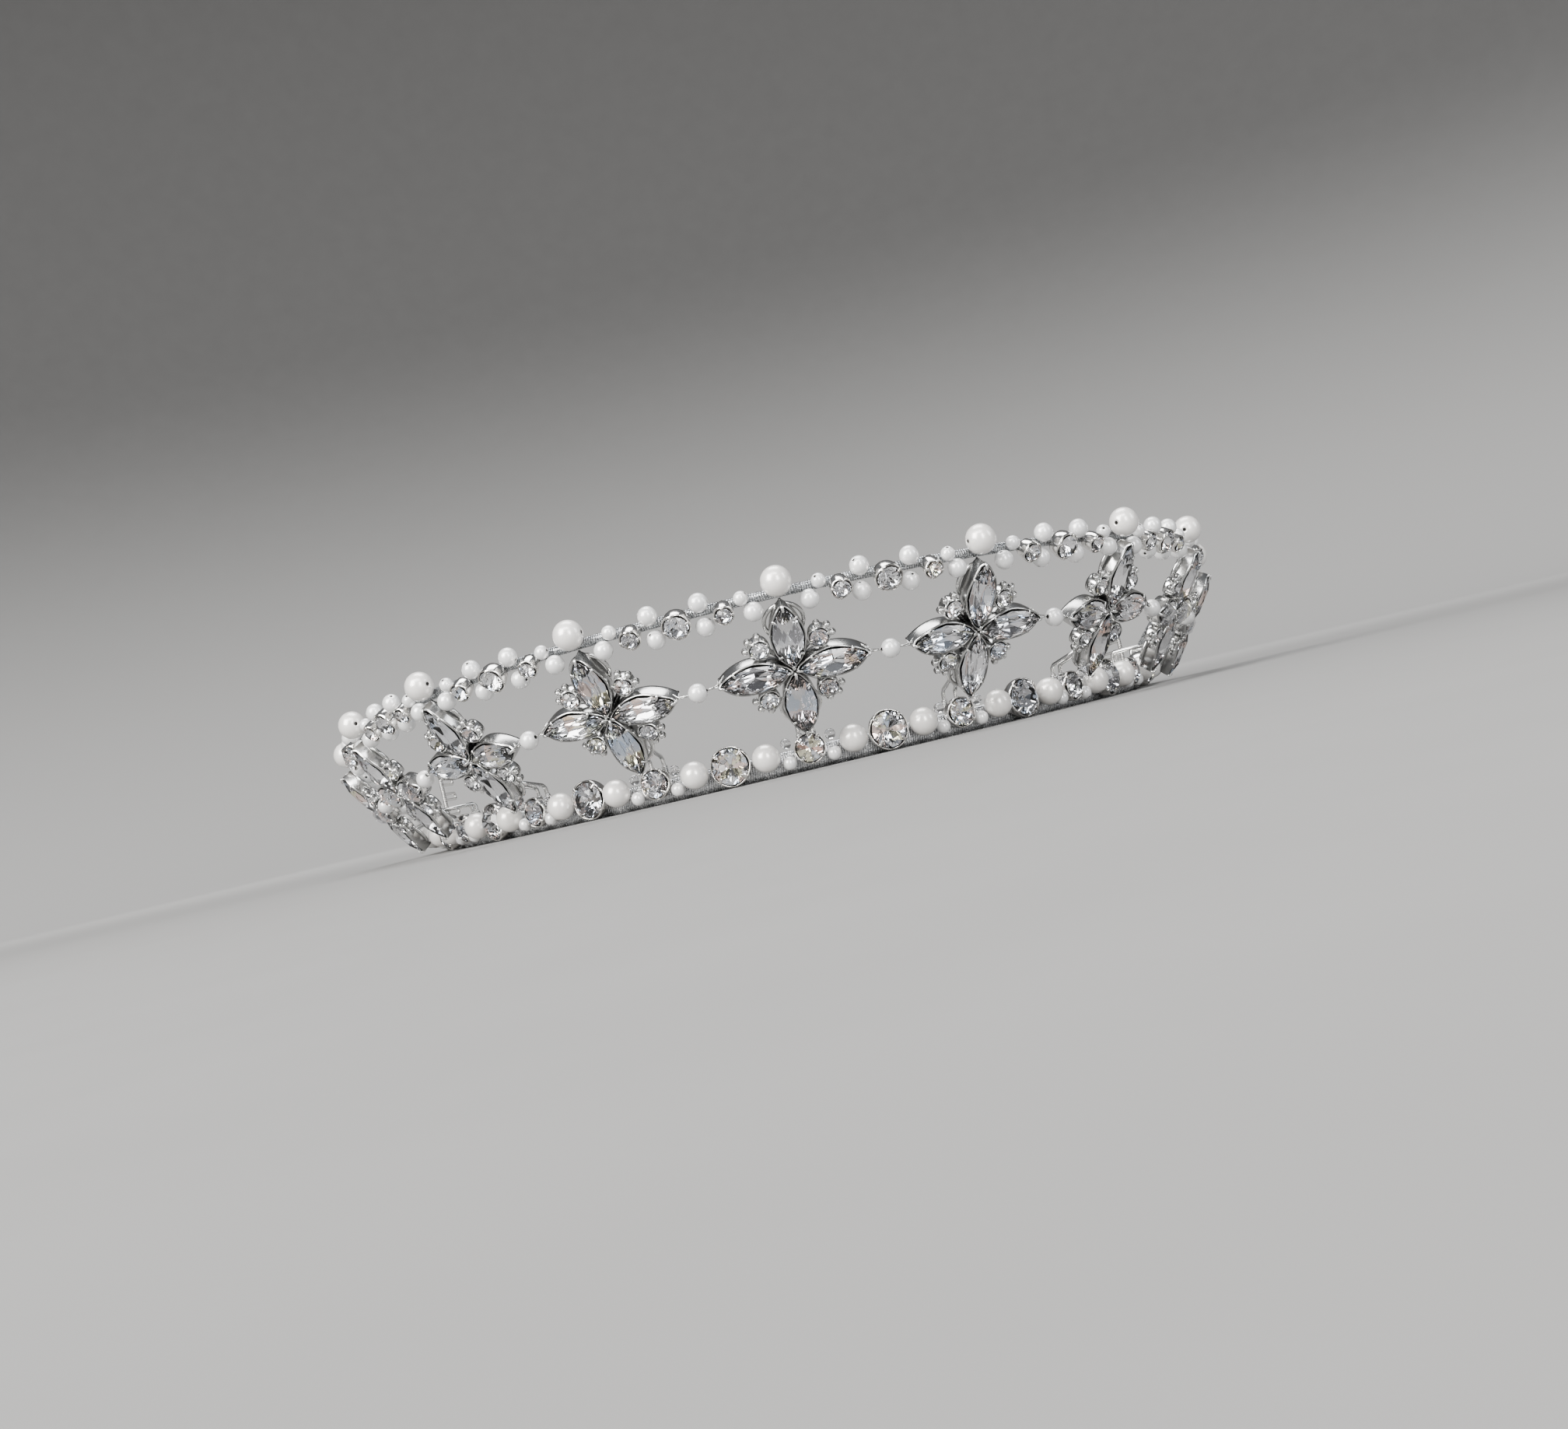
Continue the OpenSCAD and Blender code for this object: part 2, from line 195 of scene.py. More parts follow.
class Finish:
    # a material built round one Principled shader
    def __init__(self, name):
        self.material = bpy.data.materials.new(name)
        self.material.use_nodes = True
        self.tree = self.material.node_tree
        self.shader = self.tree.nodes["Principled BSDF"]

    def node(self, kind, settings=None, values=None, output=0):
        # a ramp's stops are steps, each up to the place of the next
        made = self.tree.nodes.new(kind)
        for key, value in (settings or {}).items():
            if key == "stops":
                ramp = made.color_ramp
                ramp.interpolation = "CONSTANT"
                while len(ramp.elements) < len(value):
                    ramp.elements.new(0.5)
                for element, (place, colour) in zip(ramp.elements, value):
                    element.position, element.color = place, colour
            else:
                setattr(made, key, value)
        for key, value in (values or {}).items():
            self.feed(made.inputs[key], value)
        return Signal(self, made.outputs[output])

    def feed(self, socket, value):
        if isinstance(value, Signal):
            self.tree.links.new(value.socket, socket)
        else:
            socket.default_value = value

    def set(self, **values):
        for key, value in values.items():
            self.feed(self.shader.inputs[sockets[key]], value)

    def place(self):
        return self.node("ShaderNodeTexCoord", None, None, "Object")

    def noise(self, scale, detail=2.0):
        values = {"Vector": self.place(), "Scale": scale, "Detail": detail}
        return self.node("ShaderNodeTexNoise", None, values)

    def trait(self, name):
        return self.node("ShaderNodeAttribute", {"attribute_name": name}, None, "Fac")

    def blend(self, share, a, b):
        # colours mix through a Mix node, whose inputs 6 and 7 and output 2 are colours
        return self.node("ShaderNodeMix", {"data_type": "RGBA"}, {"Factor": share, 6: a, 7: b}, 2)

    def bump(self, height, strength, distance):
        values = {"Height": height, "Strength": strength, "Distance": distance}
        return self.node("ShaderNodeBump", None, values)


def rgb(r, g, b):
    return (r, g, b, 1.0)


def dimmed(colour, share):
    return rgb(*(c * share for c in colour[:3]))


pearlSkin = {
    "variety": 0.75, "cloudScale": 260.0, "blushScale": 900.0, "blush": rgb(0.90, 0.82, 0.76),
    # the edge colour is painted shade at the outline, and the bore colour is painted shade inside the bores
    "paintedOutlineShadeBlend": 0.4, "paintedOutlineShadePower": 1.6, "paintedOutlineShadeShare": 0.6, "edge": rgb(0.46, 0.45, 0.46),
    "bore": rgb(0.10, 0.095, 0.09), "metal": 0.28, "rough": 0.24, "roughSpread": 0.14,
    "coat": 0.6, "coatRough": 0.07, "gloss": 0.5, "ior": 1.53,
    "grainScale": 1400.0, "bump": 0.10, "bumpDepth": 0.0001,
}


def pearlFinish(name, light, dark, mottle):
    # satin beads, each with a tone of its own, with painted shade darkening their outline and their bores
    p = pearlSkin
    f = Finish(name)
    cloud = f.noise(p["cloudScale"], 3.0)
    edge = f.node("ShaderNodeLayerWeight", None, {"Blend": p["paintedOutlineShadeBlend"]}, "Facing")
    body = f.blend(f.trait("chance") * p["variety"], light, dark)
    body = f.blend(f.noise(p["blushScale"]) * mottle, body, p["blush"])
    # painted shade: darker where the surface turns away from the view, and dark in the bores
    body = f.blend(edge ** p["paintedOutlineShadePower"] * p["paintedOutlineShadeShare"], body, p["edge"])
    body = f.blend(f.trait("soot"), body, p["bore"])
    f.set(colour=body, metal=p["metal"], rough=p["rough"] + cloud * p["roughSpread"],
          coat=p["coat"], coatRough=p["coatRough"], gloss=p["gloss"], ior=p["ior"],
          normal=f.bump(f.noise(p["grainScale"]), p["bump"], p["bumpDepth"]))
    return f.material


plating = {
    "tarnishScale": 420.0, "tarnishFrom": 0.35, "tarnishShare": 0.6, "tarnishTone": 0.82,
    "grainRough": 0.12, "paintedShadeRough": 0.15, "bump": 0.12, "bumpDepth": 0.00008,
}


def metalFinish(name, bright, dark, rough, grainScale):
    p = plating
    f = Finish(name)
    grain = f.noise(grainScale, 4.0)
    tarnish = (f.noise(p["tarnishScale"], 3.0) - p["tarnishFrom"]) * p["tarnishShare"]
    body = f.blend(tarnish, bright, dimmed(bright, p["tarnishTone"]))
    # painted shade: towards the dark colour where the mesh marks shade in crevices and hollows
    body = f.blend(f.trait("soot"), body, dark)
    f.set(colour=body, metal=1.0, rough=rough + grain * p["grainRough"] + f.trait("soot") * p["paintedShadeRough"],
          normal=f.bump(grain, p["bump"], p["bumpDepth"]))
    return f.material


thread = {
    "flakeScale": 3600.0, "glintShare": 0.8, "varietyShare": 0.2, "paintedGrooveShade": 0.3,
    "metal": 0.9, "rough": 0.13, "roughSpread": 0.25, "gloss": 0.7,
    "fuzzScale": 2500.0, "fuzz": 0.6, "bump": 0.75, "bumpDepth": 0.00014,
}


def threadFinish(name, bright, dark):
    # flat metallic thread: flakes that each catch the light their own way; each flake's colour is a painted
    # glint from the dark colour to the bright, and the grooves get painted shade
    t = thread
    f = Finish(name)
    flakes = f.node("ShaderNodeTexVoronoi", None, {"Vector": f.place(), "Scale": t["flakeScale"]}, "Color")
    glint = f.node("ShaderNodeSeparateColor", None, {"Color": flakes}, "Red")
    tilt = f.node("ShaderNodeSeparateColor", None, {"Color": flakes}, "Green")
    share = glint * t["glintShare"] + f.trait("chance") * t["varietyShare"]
    body = f.blend(f.trait("soot"), f.blend(share, dark, bright), dimmed(dark, t["paintedGrooveShade"]))
    height = tilt + f.noise(t["fuzzScale"]) * t["fuzz"]
    f.set(colour=body, metal=t["metal"], rough=t["rough"] + glint * t["roughSpread"],
          gloss=t["gloss"], normal=f.bump(height, t["bump"], t["bumpDepth"]))
    return f.material


stoneLook = {
    "clear": rgb(0.99, 0.99, 1.0), "tint": rgb(0.94, 0.97, 1.0), "tintShare": 0.12, "ior": 1.56,
    "hazeScale": 700.0, "haze": 0.03, "foilRough": 0.03,
    # the foil's facets, in steps by fire: most white like silver foil, one step painted dark grey as shade,
    # and the tinted steps painted fire
    "foil": [(0.0, rgb(0.98, 0.98, 0.99)), (0.46, rgb(0.93, 0.95, 0.98)), (0.58, rgb(0.42, 0.42, 0.44)),
             (0.70, rgb(0.98, 0.98, 0.97)), (0.78, rgb(0.99, 0.80, 0.72)), (0.85, rgb(0.78, 0.87, 1.0)),
             (0.93, rgb(0.99, 0.95, 0.70)), (0.97, rgb(0.9, 0.9, 0.92))],
}


def glassFinish(name):
    f = Finish(name)
    tint = f.blend(f.trait("fire") * stoneLook["tintShare"], stoneLook["clear"], stoneLook["tint"])
    f.set(colour=tint, rough=0.0, ior=stoneLook["ior"], clear=1.0)
    return f.material


def foilFinish(name):
    # the silvered back of a cut stone: most facets white, a few painted with coloured fire as split light,
    # and some painted dark grey as shade
    f = Finish(name)
    colour = f.node("ShaderNodeValToRGB", {"stops": stoneLook["foil"]}, {"Fac": f.trait("fire")})
    rough = stoneLook["foilRough"] + f.noise(stoneLook["hazeScale"], 1.0) * stoneLook["haze"]
    f.set(colour=colour, metal=1.0, rough=rough)
    return f.material


finishes = {
    "pearl": pearlFinish("warmPearl", rgb(0.92, 0.90, 0.87), rgb(0.86, 0.835, 0.79), 0.2),
    "smallPearl": pearlFinish("palePearl", rgb(0.90, 0.90, 0.895), rgb(0.81, 0.82, 0.825), 0.12),
    # each metal's second colour is its painted shade
    "settingMetal": metalFinish("platedCup", rgb(0.90, 0.88, 0.85), rgb(0.10, 0.09, 0.08), 0.08, 1500.0),
    "flowerMetal": metalFinish("platedFlower", rgb(0.80, 0.80, 0.79), rgb(0.04, 0.037, 0.035), 0.11, 1800.0),
    "combMetal": metalFinish("drawnWire", rgb(0.70, 0.69, 0.67), rgb(0.12, 0.11, 0.10), 0.16, 2400.0),
    # each thread's second colour is the dark end of its painted glints
    "bandThread": threadFinish("silverThread", rgb(0.95, 0.955, 0.96), rgb(0.27, 0.28, 0.30)),
    "rimThread": threadFinish("greyThread", rgb(0.70, 0.715, 0.73), rgb(0.13, 0.14, 0.15)),
    "glass": glassFinish("cutGlass"),
    "foil": foilFinish("stoneFoil"),
}
print("finishes made")


# Mesh building
class Mould:
    # gathers the parts of one piece, in local millimetres, and casts them as one mesh
    def __init__(self):
        self.points, self.faces, self.slots, self.smooth = [], [], [], []
        self.soot, self.chance, self.fire, self.count = [], [], [], 0

    def add(self, part, place, slot=0, smooth=True, soot=0.0, chance=0.0, fire=None):
        # slot and fire may be one for each face, and the painted shade, darker in crevices and hollows, one
        # for each point
        points, faces = np.asarray(part[0], float), part[1]
        m = np.array(place)
        self.points.append(points @ m[:3, :3].T + m[:3, 3])
        mirrored = np.linalg.det(m[:3, :3]) < 0
        for face in faces:
            order = reversed(face) if mirrored else face
            self.faces.append(tuple(i + self.count for i in order))
        self.slots += slot if isinstance(slot, list) else [slot] * len(faces)
        self.smooth += [smooth] * len(faces)
        self.soot.append(np.broadcast_to(np.asarray(soot, float), len(points)))
        self.chance.append(np.full(len(points), chance))
        self.fire += [0.0] * len(faces) if fire is None else fire
        self.count += len(points)

    def cast(self, name, materials, node, slotName):
        mesh = bpy.data.meshes.new(name)
        mesh.from_pydata(np.vstack(self.points).tolist(), [], self.faces)
        for material in materials:
            mesh.materials.append(finishes[material])
        mesh.polygons.foreach_set("material_index", self.slots)
        mesh.polygons.foreach_set("use_smooth", self.smooth)
        for key, values in (("soot", self.soot), ("chance", self.chance)):
            mesh.attributes.new(key, "FLOAT", "POINT").data.foreach_set("value", np.concatenate(values))
        mesh.attributes.new("fire", "FLOAT", "FACE").data.foreach_set("value", self.fire)
        mesh.update()
        piece = bpy.data.objects.new(name, mesh)
        bpy.context.scene.collection.objects.link(piece)
        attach(piece, "root")
        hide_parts(node)


def bridge(rings, closed=False):
    # faces between rings of point numbers; a ring may be one point repeated
    faces = []
    for a, b in zip(rings, rings[1:] + (rings[:1] if closed else [])):
        for i in range(len(a)):
            j = (i + 1) % len(a)
            corners = list(dict.fromkeys((a[i], a[j], b[j], b[i])))
            if len(corners) > 2:
                faces.append(tuple(corners))
    return faces


def capped(rings):
    return bridge(rings) + [tuple(reversed(rings[0])), tuple(rings[-1])]


def lathe(profile, sides, closed=False):
    # a profile of radius and height, turned round z
    points, rings = [], []
    for r, z in profile:
        if r < 1e-6:
            rings.append([len(points)] * sides)
            points.append((0, 0, z))
        else:
            rings.append(list(range(len(points), len(points) + sides)))
            for i in range(sides):
                a = 2 * math.pi * i / sides
                points.append((r * math.cos(a), r * math.sin(a), z))
    return points, bridge(rings, closed)


def ball(d, sides, rings):
    return lathe([(d / 2 * math.sin(a), -d / 2 * math.cos(a)) for a in np.linspace(0, math.pi, rings)], sides)


def sweep(path, radius, sides, side=None, flat=1.0, closed=False):
    # a wire along a path, flattened across its side; radius is one number or one for each point
    path = np.array([tuple(point) for point in path], float)
    count = len(path)
    radii = np.broadcast_to(np.asarray(radius, float), count)
    along = np.roll(path, -1, 0) - np.roll(path, 1, 0) if closed else np.gradient(path, axis=0)
    along /= np.linalg.norm(along, axis=1)[:, None]
    slanted = (0.31, 0.47, 0.83)   # a way that no wire runs
    x = np.asarray(np.cross(along[0], slanted) if side is None else side, float)
    points = []
    for i in range(count):
        x = x - along[i] * x.dot(along[i])
        x /= np.linalg.norm(x)
        y = np.cross(along[i], x)
        for k in range(sides):
            a = 2 * math.pi * k / sides
            points.append(path[i] + radii[i] * (math.cos(a) * x + flat * math.sin(a) * y))
    rings = [list(range(i * sides, (i + 1) * sides)) for i in range(count)]
    return points, bridge(rings, True) if closed else capped(rings)


binding = {"steps": 12, "sides": 6}


def coil(start, along, across, turns, radius, wire, gap):
    # fine binding wire wound round something that runs in the direction along
    a, x = Vector(along).normalized(), Vector(across).normalized()
    y = a.cross(x)
    steps = binding["steps"]
    path = []
    for i in range(turns * steps + 1):
        t = 2 * math.pi * i / steps
        path.append(Vector(start) + a * gap * i / steps + (x * math.cos(t) + y * math.sin(t)) * radius)
    return sweep(path, wire / 2, binding["sides"], tuple(x))


bore = {"lip": 0.1, "lipDepth": 0.05, "wallDepth": 0.35, "endDepth": 0.4, "taper": 0.92, "paintedShadeOut": 1.04}


def bead(d, hole, sides, rings):
    # a bead with a blind bore at each end of z, whose edges are slightly rounded
    r, edge = d / 2, hole / 2
    top = math.acos(min(0.99, (edge + bore["lip"] * edge) / r))
    outer = [(r * math.cos(a), r * math.sin(a)) for a in np.linspace(-top, top, rings)]
    z = outer[-1][1]
    wall = [(edge, z - bore["lipDepth"] * r), (edge * bore["taper"], z - bore["wallDepth"] * r)]
    end = z - bore["endDepth"] * r
    profile = [(0, -end)] + [(a, -b) for a, b in reversed(wall)] + outer + wall + [(0, end)]
    points, faces = lathe(profile, sides)
    # painted shade: the points inside the bore are marked fully shaded
    soot = [1.0 if math.hypot(x, y) < edge * bore["paintedShadeOut"] else 0.0 for x, y, _ in points]
    return (points, faces), soot


print("tools ready")

# Cut stones
stoneCut = {
    "table": 0.56, "kite": 0.79, "girdle": 0.16, "crownShare": 0.17, "crownEase": 0.98,
    "wallGap": 0.46, "sideSlope": 41, "deepRing": 0.46, "deepReach": 1.06, "keelPull": 0.5, "culet": 0.04,
    "floorGap": 0.15, "almondSpread": 0.8,
}
glassSlot, foilSlot = 0, 1


def roundOutline(r):
    return lambda turn: (r * math.cos(turn), r * math.sin(turn))


def almondOutline(length, width, inset):
    # two arcs that meet at the tips; the turn 0 is the tip on +x
    radius = (length * length + width * width) / (4 * width)
    drop = radius - width / 2
    r = radius - inset
    tip = math.sqrt(r * r - drop * drop)

    def outline(turn):
        x = tip * math.copysign(abs(math.cos(turn)) ** stoneCut["almondSpread"], math.cos(turn))
        if abs(math.sin(turn)) < 1e-9:
            return x, 0.0
        y = math.sqrt(max(r * r - x * x, 0)) - drop
        return x, math.copysign(max(y, 0), math.sin(turn))
    return outline


def cutStone(outline, crown, deep, table, keel):
    # crown in clear glass and pavilion in foil: table, stars, kites and halves, with the girdle at z 0
    girdle, kite, low, culet = (stoneCut[key] for key in ("girdle", "kite", "deepRing", "culet"))
    points, faces, slots = [], [], []

    def ring(turns, shareX, shareY, z):
        start = len(points)
        for turn in turns:
            x, y = outline(turn)
            points.append((x * shareX, y * shareY, z))
        return list(range(start, len(points)))

    def put(slot, *corners):
        faces.append(corners)
        slots.append(slot)

    # the rings, from the top: table, kites, girdle, back of the girdle, pavilion, culet
    main = [math.pi / 4 * i for i in range(8)]
    half = [turn + math.pi / 8 for turn in main]
    both = [math.pi / 8 * i for i in range(16)]
    kiteUp = crown * (1 - kite * math.cos(math.pi / 8)) / (1 - table)
    t = ring(main, table, table, crown)
    k = ring(half, kite, kite, kiteUp)
    g = ring(both, 1, 1, 0)
    b = ring(both, 1, 1, -girdle)
    wide = low + (keel - culet) * stoneCut["keelPull"]
    p = ring(half, wide, low, -girdle - deep * (stoneCut["deepReach"] - low))
    c = ring(main, keel, culet, -girdle - deep)

    put(glassSlot, *t)
    put(foilSlot, *reversed(c))
    for i in range(8):
        n = (i + 1) % 8
        put(glassSlot, t[i], k[i], t[n])
        put(glassSlot, t[i], k[i - 1], g[2 * i], k[i])
        put(glassSlot, k[i], g[2 * i], g[2 * i + 1])
        put(glassSlot, k[i], g[2 * i + 1], g[(2 * i + 2) % 16])
        put(foilSlot, p[i], b[2 * i + 1], b[2 * i])
        put(foilSlot, p[i], b[(2 * i + 2) % 16], b[2 * i + 1])
        put(foilSlot, c[i], p[i], b[2 * i], p[i - 1])
        put(foilSlot, c[n], p[i], c[i])
    for i in range(16):
        n = (i + 1) % 16
        put(glassSlot, g[i], b[i], b[n], g[n])
    return (points, faces), slots


def setStone(mould, stone, place):
    part, slots = stone
    mould.add(part, place, slots, False, fire=[dice.random() for _ in slots])


def chaton(d, cupHeight):
    # a round stone for a cup of diameter d
    r = d / 2 - stoneCut["wallGap"]
    room = cupHeight - stoneCut["girdle"] - stoneCut["floorGap"]
    deep = min(r * math.tan(math.radians(stoneCut["sideSlope"])), room)
    crown = d * stoneCut["crownShare"] * stoneCut["crownEase"]
    return cutStone(roundOutline(r), crown, deep, stoneCut["table"], stoneCut["culet"])


# Settings
cupForm = {
    "around": 48, "wallSteps": 6, "wall": 0.34, "topDip": 0.5, "dipPower": 1.5, "baseShare": 0.86,
    "bellyRise": 1.5, "footPaintedShade": 0.55, "footShare": 0.3, "insidePaintedShade": 0.8,
    "notch": 0.9, "notchHalf": 9, "notchStep": 45, "notchesAt": (1, 2, 5, 6),
    "plateShare": 0.84, "plate": (0.15, 0.4, 0.4, 0.15, 0.8), "plateSides": 24,
    "prongs": 4, "prongSteps": 7, "prongLength": 1.0, "prongMost": 1.2, "prongFor": 6.6, "prongInset": 0.18,
    "prongRoot": 0.45, "prongRise": 0.55, "prongFold": 0.35, "prongLevel": 0.25, "prongSlope": 0.72,
    "prongWidth": 0.42, "prongWide": 1.15, "prongTaper": 0.5, "prongFlat": 0.5, "prongSides": 8,
}


def wallRing(count, outline, height, low, high, wall, belly):
    # a thin wall whose lower and upper edges rise and fall; outline(i) gives x, y and the outward way
    steps = cupForm["wallSteps"]
    footHeight = height * cupForm["footShare"]
    points, rings, soot = [], [], []
    for i in range(count):
        x, y, nx, ny = outline(i)
        z0, z1 = low(i), high(i)
        column = []
        for k in range(steps + 1):
            z = z0 + (z1 - z0) * k / steps
            pull = belly(z / height)
            column.append((x + nx * pull, y + ny * pull, z))
        inner = [(px - nx * wall, py - ny * wall, pz) for px, py, pz in reversed(column)]
        rings.append(list(range(len(points), len(points) + len(column) + len(inner))))
        points += column + inner
        # painted shade: darker towards the foot outside, and dark all over the inside
        soot += [cupForm["footPaintedShade"] * max(0, 1 - z / footHeight) for _, _, z in column]
        soot += [cupForm["insidePaintedShade"]] * len(inner)
    return (points, [tuple(reversed(face)) for face in bridge(rings, True)]), soot


def addPlate(mould, place, r, low, high, top, back, front):
    # a round plate, its top over its middle; back and front are the painted shade on its two faces
    sides = cupForm["plateSides"]
    plate = lathe([(0, low), (r, low), (r, high), (0, top)], sides)
    mould.add(plate, place, smooth=False, soot=[back] * (sides + 1) + [front] * (sides + 1))


def foldedProng(r, height, reach, slope, fine):
    # up the wall, then folded in and over the stone's slope
    c = cupForm
    fold, path, width = c["prongFold"], [], []
    for t in np.linspace(0, 1, c["prongSteps"]):
        inward = reach * max(0, t - fold) / (1 - fold)
        up = c["prongRise"] * min(1, t / fold)
        over = max(0, inward - c["prongLevel"]) * slope * c["prongSlope"]
        path.append((r - c["prongInset"] - inward, 0, height - c["prongRoot"] + up + over))
        width.append(c["prongWidth"] * fine * (c["prongWide"] - c["prongTaper"] * t))
    return sweep(path, width, c["prongSides"], (0, 1, 0), c["prongFlat"])


def roundCup(mould, place, d, height, notches, fine=1.0):
    # a cup of sheet metal: prongs folded over the stone, notches at the foot where it is sewn on
    c = cupForm
    count, prongs, r = c["around"], c["prongs"], d / 2

    def outline(i):
        a = 2 * math.pi * i / count
        return r * math.cos(a), r * math.sin(a), math.cos(a), math.sin(a)

    def high(i):
        wave = abs(math.cos(prongs / 2 * (2 * math.pi * i / count - math.pi / prongs)))
        return height - c["topDip"] * fine * (1 - wave ** c["dipPower"])

    def low(i):
        step = c["notchStep"]
        angle = math.degrees(2 * math.pi * i / count) - step / 2
        off = angle % step - step / 2
        notched = notches and round(angle / step) % (360 // step) in c["notchesAt"]
        if not notched or abs(off) >= c["notchHalf"]:
            return 0.0
        return c["notch"] * (1 - (off / c["notchHalf"]) ** 2) ** 0.5

    def belly(t):
        return -r * (1 - c["baseShare"]) * (1 - min(1, t * c["bellyRise"])) ** 2

    part, soot = wallRing(count, outline, height, low, high, c["wall"], belly)
    mould.add(part, place, soot=soot)
    addPlate(mould, place, r * c["plateShare"], *c["plate"])
    reach = c["prongLength"] * fine * min(c["prongMost"], d / c["prongFor"])
    slope = d * stoneCut["crownShare"] / (r * (1 - stoneCut["table"]))
    prong = foldedProng(r, height, reach, slope, fine)
    for k in range(prongs):
        # the prongs carry a little painted shade
        mould.add(prong, place @ spin(360 / prongs * (k + 0.5)), soot=0.1)


# The row on the band
row = {
    "bigCup": 8.5, "stemCup": 6.6, "endCup": 6.4, "endCups": (0.47, 0.90), "cupHeight": 3.1, "cupPlay": 4,
    "pearl": 6.0, "hole": 0.8, "pearlSides": 36, "pearlRings": 22, "pearlTip": (70, 98),
    "pearlRoll": (-14, 10), "pearlShares": (0.272, 0.728), "endPearls": (0.235, 0.7),
    "seedShares": (0.14, 0.86),
    "seeds": [
        {"slot": 0, "d": 3, "hole": 0.6, "out": 2.3, "up": -2.1, "tip": (60, 110), "sides": 24, "rings": 14},
        {"slot": 1, "d": 2.3, "hole": 0.7, "out": 2.1, "up": 1.9, "tip": (0, 90), "sides": 20, "rings": 12},
    ],
}
cupHeight = row["cupHeight"]
rowCups = [(s, row["stemCup"]) for s in stems] + [(s + pitch / 2, row["bigCup"]) for s in bays]
for side in (-1, 1):
    rowCups += [(side * (lastStem + share * pitch), row["endCup"]) for share in row["endCups"]]
cups, stones = Mould(), Mould()
for s, d in rowCups:
    place = bandPlace(s, tiara["seat"], tiara["rowRise"])
    roundCup(cups, place @ spin(dice.uniform(-row["cupPlay"], row["cupPlay"])), d, cupHeight, True)
    setStone(stones, chaton(d, cupHeight), place @ shift(0, 0, cupHeight) @ spin(dice.uniform(0, 45)))
cups.cast("rowCups", ["settingMetal"], "base_cups", "setting_metal")
stones.cast("rowStones", ["glass", "foil"], "base_crystals", "crystal")

rowPearls = [-lastStem - share * pitch for share in reversed(row["endPearls"])]
rowPearls += [b + share * pitch for b in bays for share in row["pearlShares"]]
rowPearls += [lastStem + share * pitch for share in row["endPearls"]]
for k, s in enumerate(rowPearls):
    pearl = Mould()
    place = bandPlace(s, tiara["seat"] + row["pearl"] / 2, tiara["rowRise"])
    lean = turned(dice.uniform(*row["pearlTip"]), "X") @ turned(dice.uniform(*row["pearlRoll"]), "Y")
    part, soot = bead(row["pearl"], row["hole"], row["pearlSides"], row["pearlRings"])
    pearl.add(part, place @ lean, soot=soot, chance=dice.random())
    pearl.cast(f"rowPearl{k + 1}", ["pearl"], f"base_pearl_{k + 1}", "pearl")

seeds = Mould()
for b in bays:
    for share in row["seedShares"]:
        for seed in row["seeds"]:
            place = bandPlace(b + share * pitch, tiara["seat"] + seed["out"], tiara["rowRise"] + seed["up"])
            part, soot = bead(seed["d"], seed["hole"], seed["sides"], seed["rings"])
            lean = turned(dice.uniform(*seed["tip"]), "X")
            seeds.add(part, place @ lean, seed["slot"], soot=soot, chance=dice.random())
seeds.cast("rowSeeds", ["smallPearl", "glass"], "base_seeds", "seed_bead")
print("row made")

# The rim's beads; the pearls' columns are share of the bay, height over the wire, lift and diameter
rim = {
    "pearls": [(0.135, -1.2, 3.05, 4), (0.190, 1.9, 2.1, 3), (0.390, 2.9, 1.5, 4), (0.390, -2.5, 2.2, 4),
               (0.634, 2.9, 1.5, 4), (0.634, -2.5, 2.2, 4), (0.827, 1.9, 2.1, 3), (0.870, -1.2, 3.05, 4)],
    "cups": [(0.285, 0.0, 4.5), (0.512, 0.2, 5.9), (0.736, 0.1, 4.2)],   # share, height and diameter
    "endBay": 0.91, "cupFine": 0.75, "hole": 0.55, "sides": 24, "rings": 15, "play": 0.4, "variety": 0.6,
    "tailPearl": 3.2, "tailCount": 8, "tailFrom": 0.13, "tailTo": 0.77,
}
smallPearls, rimCups, rimStones = Mould(), Mould(), Mould()


def strungBead(mould, place, d):
    part, soot = bead(d, rim["hole"], rim["sides"], rim["rings"])
    turn = Matrix.Rotation(dice.uniform(0, math.pi), 4, "Z")
    tip = Matrix.Rotation(math.pi / 2 + dice.uniform(-rim["play"], rim["play"]), 4, "X")
    mould.add(part, place @ (turn @ tip), soot=soot, chance=dice.random())


for b in bays:
    size = rim["endBay"] if b in (bays[0], bays[-1]) else 1.0
    for share, up, out, d in rim["pearls"]:
        s = b + share * pitch
        strungBead(smallPearls, wallPlace(s, wireLine(s) + up, out), d * size)
    for share, up, d in rim["cups"]:
        s = b + share * pitch
        place = wallPlace(s, wireLine(s) + up, tiara["rimWire"] / 2 + air)
        roundCup(rimCups, place @ spin(dice.uniform(0, 90)), d * size, cupHeight, False, rim["cupFine"])
        top = place @ shift(0, 0, cupHeight) @ spin(dice.uniform(0, 45))
        setStone(rimStones, chaton(d * size, cupHeight), top)
for side in (-1, 1):
    for i in range(rim["tailCount"]):
        share = rim["tailFrom"] + (rim["tailTo"] - rim["tailFrom"]) * i / (rim["tailCount"] - 1)
        s = side * (lastStem + (tiara["rimLanding"] - lastStem) * share)
        middle = rimPoint(s) + facing(s) * (tiara["rimWire"] / 2 + rim["tailPearl"] / 2 + air)
        strungBead(smallPearls, settle @ Matrix.Translation(middle), rim["tailPearl"])
smallPearls.cast("rimSmallPearls", ["smallPearl"], "rim_small_pearls", "pearl")
rimCups.cast("rimSettings", ["settingMetal"], "rim_cups", "setting_metal")
